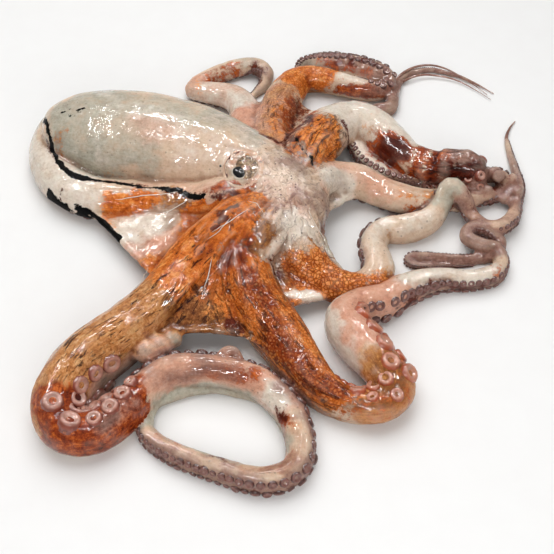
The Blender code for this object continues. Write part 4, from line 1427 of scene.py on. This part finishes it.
print("skin material:", len(tree.nodes), "nodes")



# %% [markdown]
# ## The suckers' cups
#
# A sucker is a soft round rim with a cup in it: a profile turned once round an axis. There are
# about a thousand, so each has only 70 faces, and all those of one stretch are one piece.
#
# The rows run on under folds and crossing arms. A sucker sunk deeper than its own rim's radius
# can't be seen, and one whose foot misses the flesh would hang in the air. Both are left out.


# %% The cups of the suckers
def make_turned(name, spots, profile, sides, material):
    """A piece of many turned profiles, each point knowing how far from its middle it is."""
    points, quads, triangles = lathed(spots, profile, sides)
    points[:, 2] = np.maximum(points[:, 2], 0.02)
    piece = make_piece(name, points, quads.tolist() + triangles.tolist(), material)
    ring = np.concatenate([np.repeat(profile[1:-1, 0], sides), [0.0, 0.0]])
    high = np.concatenate([np.repeat(profile[1:-1, 1], sides), [profile[0, 1], profile[-1, 1]]])
    cup = np.column_stack([ring, high, np.zeros_like(ring)])
    store_vector(piece.data, "cup", np.tile(cup, (len(spots), 1)))
    return piece


FOOT_GAP = 0.3  # how far off the skin a sucker's foot may be, in mm


def height_over(tree, points):
    """Height of each point over the skin in mm: (point - nearest point of the skin) . its normal."""
    heights = []
    for point in (points + CROWN_AT) * MM:
        near, normal, _, _ = tree.find_nearest(Vector(point))
        heights.append((Vector(point) - near).dot(normal) / MM)
    return np.array(heights)


def seated(tree, spots, profile):
    """Which suckers meet the skin: top higher than -(rim radius), and foot lower than FOOT_GAP.

    The top is middle + size w max(height), and the foot is the same with the least height.
    """
    spot, w, size = spots[:, :3], spots[:, 3:6], spots[:, 9:10]
    w = w / np.linalg.norm(w, axis=1)[:, None]
    top = height_over(tree, spot + size * w * profile[:, 1].max())
    foot = height_over(tree, spot + size * w * profile[:, 1].min())
    return (top > -size[:, 0] * profile[:, 0].max()) & (foot < FOOT_GAP)


def sucker_material(name, rim, wall, floor):
    """Sucker flesh: softer and clearer than the skin, with its colours on rim, wall and cup floor.

    A sucker has no pigment net. Its rim is stained, its cup is pale and lets light through.
    """
    made, tree, surface = new_material(name)
    place = add_node(tree, "TexCoord").outputs["Object"]
    cup = add_node(tree, "Attribute", attribute_name="cup")
    parts = add_node(tree, "SeparateXYZ", links={0: cup.outputs["Vector"]})
    mottle = add_node(tree, "TexNoise", {"Scale": per_metre(5), "Detail": 4.0}, {"Vector": place})
    grain = add_node(tree, "TexNoise", {"Scale": per_metre(1.2), "Detail": 3.0}, {"Vector": place})
    out = add_node(tree, "MapRange", {"From Min": 0.3, "From Max": 0.75}, {"Value": parts.outputs[0]})
    high = add_node(tree, "MapRange", {"From Min": 0.15, "From Max": 0.4}, {"Value": parts.outputs[1]})
    tone = blend(tree, out.outputs[0], floor, wall)
    tone = blend(tree, high.outputs[0], tone, rim)
    shade = add_node(tree, "MapRange", {"From Min": 0.3, "From Max": 0.7, "To Min": 0.75, "To Max": 1.2},
                     {"Value": mottle.outputs["Fac"]})
    shade_colour = add_node(tree, "CombineColor",
                            links={0: shade.outputs[0], 1: shade.outputs[0], 2: shade.outputs[0]})
    tone = blend(tree, 1.0, tone, shade_colour.outputs[0], "MULTIPLY")
    bump = add_node(tree, "Bump", {"Strength": 0.5, "Distance": 0.0003}, {"Height": grain.outputs["Fac"]})
    shader = add_node(
        tree, "BsdfPrincipled",
        {"Roughness": 0.35, "IOR": 1.38, "Subsurface Weight": 0.3, "Subsurface Scale": 0.003,
         "Coat Weight": 0.8, "Coat Roughness": 0.08, "Coat IOR": 1.38},
        {"Base Color": tone, "Normal": bump.outputs[0]},
    )
    shader.inputs["Subsurface Radius"].default_value = (1.0, 0.5, 0.35)
    tree.links.new(shader.outputs[0], surface)
    return made


SUCKER_FLESH = {
    "rust": sucker_material("rust_sucker_flesh", "#c78a70", "#a8502c", "#cb9a84"),
    "pink": sucker_material("pink_sucker_flesh", "#c08d7b", "#8a4635", "#d2a998"),
    "mauve": sucker_material("mauve_sucker_flesh", "#84584e", "#55322c", "#93695e"),
}
pieces = [skin]
skin_tree = BVHTree.FromObject(skin, bpy.context.evaluated_depsgraph_get())
shown = 0
for name, (spots, flesh) in suckers.items():
    if len(spots):
        spots = spots[seated(skin_tree, spots, SUCKER_PROFILE)]
    if len(spots):
        shown += len(spots)
        pieces.append(make_turned(name, spots, SUCKER_PROFILE, SUCKER_SIDES, SUCKER_FLESH[flesh]))
print(shown, "suckers meet the skin, in", len(pieces) - 1, "pieces")


# %% [markdown]
# ## The eye
#
# The eye looks out of a round fold of skin. The lid is half open: a crescent of olive skin, a
# speckled golden iris and a black pupil that has slumped to one side. Each is a round or oval sheet
# that follows the skin under it, and so is a dark spot in front of the eye. One function of an
# outline and a profile makes them all. The height of the skin is an average of its points near by,
# with the weight exp(-d^2 / 2 s^2).


# %% The eye's fold, iris and pupil
EYE_CENTRE = np.array((-35.0, 9.0, 61.0))
EYE_FACES = np.array((-0.10, -0.60, 0.79))
EYE_SIDES = 64
SKIN_AVERAGE = 1.6  # s in the weight, in mm

eye_out = EYE_FACES / np.linalg.norm(EYE_FACES)
eye_right = np.cross((0, 1, 0), eye_out)
eye_right /= np.linalg.norm(eye_right)
eye_up = np.cross(eye_out, eye_right)
eye_axes = np.stack([eye_right, eye_up, eye_out])


def skin_level(flat):
    """How far the skin lies out along the eye's axis at places across it, in mm."""
    local = (skin_at - EYE_CENTRE) @ eye_axes.T
    near = (np.hypot(local[:, 0], local[:, 1]) < 30) & (np.abs(local[:, 2]) < 16)
    near &= outward @ eye_out > 0.1
    gaps = ((flat[:, None] - local[near, :2][None]) ** 2).sum(2)
    weight = np.exp(-gaps / (2 * SKIN_AVERAGE**2)) + 1e-9
    return (weight * local[near, 2]).sum(1) / weight.sum(1)


def sheet_on_skin(name, middle, half, tilt, profile, material):
    """A closed oval sheet on the skin round the eye.

    Its points are middle + share (half width cos a, half height sin a), turned by the tilt, and as
    far out as the skin there plus the profile's height.
    """
    share, height = np.array(profile).T
    angle = turn(EYE_SIDES)
    oval = np.stack([half[0] * np.cos(angle), half[1] * np.sin(angle)], -1)
    c, s = math.cos(math.radians(tilt)), math.sin(math.radians(tilt))
    oval = oval @ np.array(((c, s), (-s, c)))
    rings = middle + share[1:-1, None, None] * oval
    flat = np.concatenate([rings.reshape(-1, 2), [middle, middle]])
    high = np.concatenate([np.repeat(height[1:-1], EYE_SIDES), height[[0, -1]]])
    out = skin_level(flat) + high
    points = EYE_CENTRE + np.column_stack([flat, out]) @ eye_axes
    walls, caps = pole_faces(len(profile) - 2, EYE_SIDES)
    return make_piece(name, points, walls.tolist() + caps.tolist(), material), flat


material, tree, surface = new_material("speckled_golden_iris")
place = add_node(tree, "TexCoord").outputs["Object"]
cells = add_node(tree, "TexVoronoi", {"Scale": per_metre(1.7)}, {"Vector": place})
cell_parts = add_node(tree, "SeparateColor", links={0: cells.outputs["Color"]})
cloud = add_node(tree, "TexNoise", {"Scale": per_metre(5), "Detail": 3.0}, {"Vector": place})
amount = times(tree, cell_parts.outputs[0], times(tree, cloud.outputs["Fac"], 0.9), "MULTIPLY")
tone = crowded(tree, times(tree, amount, 0.2, "ADD"), ("#3a2717", "#97754d", "#d0b184"))
tone = blend(tree, step(tree, cloud.outputs["Fac"], 0.5, 0.62), tone, "#b98c7c")
bump = add_node(tree, "Bump", {"Strength": 0.8, "Distance": 0.0006},
                {"Height": cells.outputs["Distance"]})
shader = add_node(tree, "BsdfPrincipled",
                  {"Roughness": 0.3, "IOR": 1.35, "Coat Weight": 1.0, "Coat Roughness": 0.04},
                  {"Base Color": tone, "Normal": bump.outputs[0]})
tree.links.new(shader.outputs[0], surface)
iris_material = material

material, tree, surface = new_material("black_pupil")
place = add_node(tree, "TexCoord").outputs["Object"]
cloud = add_node(tree, "TexNoise", {"Scale": per_metre(3), "Detail": 2.0}, {"Vector": place})
tone = blend(tree, cloud.outputs["Fac"], "#020203", "#0a090b")
shader = add_node(tree, "BsdfPrincipled",
                  {"Roughness": 0.25, "IOR": 1.3, "Coat Weight": 0.6, "Coat Roughness": 0.03},
                  {"Base Color": tone})
tree.links.new(shader.outputs[0], surface)
pupil_material = material

material, tree, surface = new_material("pale_eye_rim")
place = add_node(tree, "TexCoord").outputs["Object"]
cloud = add_node(tree, "TexNoise", {"Scale": per_metre(2), "Detail": 3.0}, {"Vector": place})
tone = blend(tree, cloud.outputs["Fac"], "#b8ac98", "#ece4d6")
shader = add_node(tree, "BsdfPrincipled",
                  {"Roughness": 0.35, "IOR": 1.3, "Coat Weight": 0.8, "Coat Roughness": 0.05},
                  {"Base Color": tone})
tree.links.new(shader.outputs[0], surface)
rim_material = material

FOLD_PROFILE = ((0, -1.5), (1.0, -1.2), (0.985, -0.4), (0.955, 0.05), (0.92, 0.35), (0.885, 0.4),
                (0.85, 0.2), (0.82, 0.0), (0.79, 0.05), (0.74, 0.3), (0.66, 0.5), (0.55, 0.6),
                (0.4, 0.6), (0.2, 0.6), (0, 0.6))
IRIS_PROFILE = ((0, -1.5), (1.0, -1.0), (1.0, 0.4), (0.95, 0.8), (0.85, 1.1), (0.7, 1.3), (0.4, 1.5),
                (0, 1.6))
RIM_PROFILE = ((0, -1.0), (1.0, -0.5), (1.0, 0.9), (0.9, 1.5), (0.5, 1.7), (0, 1.7))
PUPIL_PROFILE = ((0, -1.0), (1.0, -0.5), (1.0, 1.3), (0.92, 1.9), (0.7, 2.2), (0.4, 2.4), (0, 2.4))
DOT_PROFILE = ((0, -1.0), (1.0, -0.8), (1.0, 0.1), (0.7, 0.6), (0, 0.8))

fold, flat = sheet_on_skin("eye_fold", (0, 0), (19.5, 19), 0, FOLD_PROFILE, skin_material)
iris, _ = sheet_on_skin("eye_iris", (3.2, 0.5), (10.5, 11.5), 0, IRIS_PROFILE, iris_material)
rim, _ = sheet_on_skin("pupil_rim", (-4.2, -4.1), (7.0, 5.5), -42, RIM_PROFILE, rim_material)
pupil, _ = sheet_on_skin("pupil", (-3.8, -3.5), (6.3, 4.9), -42, PUPIL_PROFILE, pupil_material)
dot, _ = sheet_on_skin("head_spot", (-20.5, 4.5), (1.1, 1.1), 0, DOT_PROFILE, pupil_material)
pieces += [fold, iris, rim, pupil, dot]

round_eye = np.hypot(*flat.T) / 19.3
round_turn = np.degrees(np.arctan2(flat[:, 1], flat[:, 0])) % 360
left_half = ease(np.abs(round_turn - 185), 105, 60)
none = np.zeros(len(flat))
crease = left_half * ease(np.abs(round_eye - 0.83), 0.07, 0.02)
olive = ease(round_eye, 0.84, 0.7)
store_fields(fold.data, "warm", [none, none, 0.75 * crease, none])
store_fields(fold.data, "cool", [0.8 * olive, none + 0.4, none, 0.35 * olive])
store_fields(fold.data, "muted", [none, 0.6 * crease, none, none + 0.4])
# painted shade in the fold's crease
store_fields(fold.data, "form", [0.5 * crease, none, none, none])
store_vector(fold.data, "net", np.zeros((len(flat), 3)))
store_vector(fold.data, "flow", np.column_stack([flat, none]))

# %% [markdown]
# ## Strands of slime, and a painted highlight
#
# Mucus dries to threads that stretch from one fold to the next. They are thin tubes through a few
# places, laid on the height of the skin's upper side there. One of them, along the front left arm's
# edge, is no slime but a painted highlight: a white line where a glint runs.


# %% Strands over the skin
# radius in mm and places (x, y)
STRANDS = (
    (0.40, ((-150, 0), (-135, 2), (-119, 4), (-94, 4))),
    (0.45, ((-108, -10), (-96, -8), (-83, -5))),
    (0.40, ((-60, -81), (-63, -96), (-66, -105))),
    # painted highlight: a white thread along the front left arm's edge, where a line of glint runs
    (0.35, ((-116, -69), (-120, -90), (-125, -113))),
    (0.35, ((-60, -60), (-46, -52), (-30, -42))),
    (0.30, ((-64, -66), (-55, -60), (-44, -48))),
    (0.30, ((-30, -30), (-22, -36), (-16, -46))),
    (0.30, ((22, -32), (30, -44), (44, -50))),
)
LIFT = 0.35  # a strand's middle lies this far above the skin


def skin_top(flat):
    """The height of the skin's upper side at places (x, y): an average that favours higher points."""
    upper = outward[:, 2] > 0.1
    gaps = ((flat[:, None] - skin_at[upper, :2][None]) ** 2).sum(2)
    weight = np.exp(-gaps / (2 * SKIN_AVERAGE**2) + skin_at[upper, 2] / 5) + 1e-12
    return (weight * skin_at[upper, 2]).sum(1) / weight.sum(1)


threads = []
for radius, stops in STRANDS:
    line, _ = along([(x, y, 0, 0) for x, y in stops], 2.0)
    line[:, 2] = skin_top(line[:, :2]) + LIFT
    threads.append(tube(strand_rings(line[:, :3], radius)))
material, tree, surface = new_material("dried_mucus_and_painted_highlight")
place = add_node(tree, "TexCoord").outputs["Object"]
cloud = add_node(tree, "TexNoise", {"Scale": per_metre(4), "Detail": 2.0}, {"Vector": place})
tone = blend(tree, cloud.outputs["Fac"], "#d8cdbd", "#f6f1e8")
shader = add_node(tree, "BsdfPrincipled", {"Roughness": 0.25, "IOR": 1.35, "Coat Weight": 0.5},
                  {"Base Color": tone})
tree.links.new(shader.outputs[0], surface)
pieces.append(make_piece("slime_strands_and_painted_highlight", *join(threads), material))
print(len(pieces), "pieces,", len(threads), "strands")

# %% [markdown]
# ## Tips of the arms
#
# Two arms end in threads that taper to less than the skin's voxels can hold. So their last 5 to 10
# cm are tapered threads of their own, which start inside the fused arm. The back right arm's end
# has frayed into three.


# %% Arm tips
TIP_SIDES = 12
# radius at the root in mm, and places (x, y, z) from the root to the point
TIPS = (
    (2.4, ((158, 212, 3), (180, 204, 2.5), (199, 191, 2), (215, 177, 1.5))),
    (1.7, ((113, 178, 6), (120, 196, 8), (136, 210, 8), (155, 216, 6), (173, 209, 5), (193, 192, 3),
           (208, 175, 2))),
    (1.4, ((124, 192, 5), (137, 200, 5), (153, 203, 4), (177, 197, 3), (196, 183, 2), (211, 167, 2))),
    (2.9, ((221, 84, 3), (219, 108, 2.5), (224, 124, 2), (231, 135, 1.5))),
)


def tip_rings(stops, radius):
    """Rings of a thread whose radius falls from root to point: r (1 - u)^0.7, never under a fifth."""
    line, run = along([(*stop, 0) for stop in stops], STRAND_STEP)
    thin = np.clip((1 - run / run[-1]) ** 0.7, 0.2, 1.0)
    return rings_round(line[:, :3], radius * thin, TIP_SIDES)


tips = [tube(tip_rings(stops, radius)) for radius, stops in TIPS]
tip_piece = make_piece("arm_tips", *join(tips), skin_material)
count = len(tip_piece.data.vertices)
none, much = np.zeros(count), np.full(count, 0.9)
store_fields(tip_piece.data, "warm", [none, none, none, none])
store_fields(tip_piece.data, "cool", [none, 0.5 * much, none, none])
store_fields(tip_piece.data, "muted", [none, much, none, 0.6 * much])
store_fields(tip_piece.data, "form", [none, none, none, none])
tip_places = read_points(tip_piece.data) / MM
store_vector(tip_piece.data, "flow", tip_places)
pieces.append(tip_piece)
print("arm tips:", count, "points")

# %% [markdown]
# ## One body for all the pieces
#
# Every piece rides on the one body, and the skin and what lies on it stand for the solid.

# %% The pieces and their body
for piece in pieces:
    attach(piece, "root")
    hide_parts("octopus")
low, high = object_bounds()
print("box of the pieces, mm", [round((b - a) / MM, 1) for a, b in zip(low, high)])
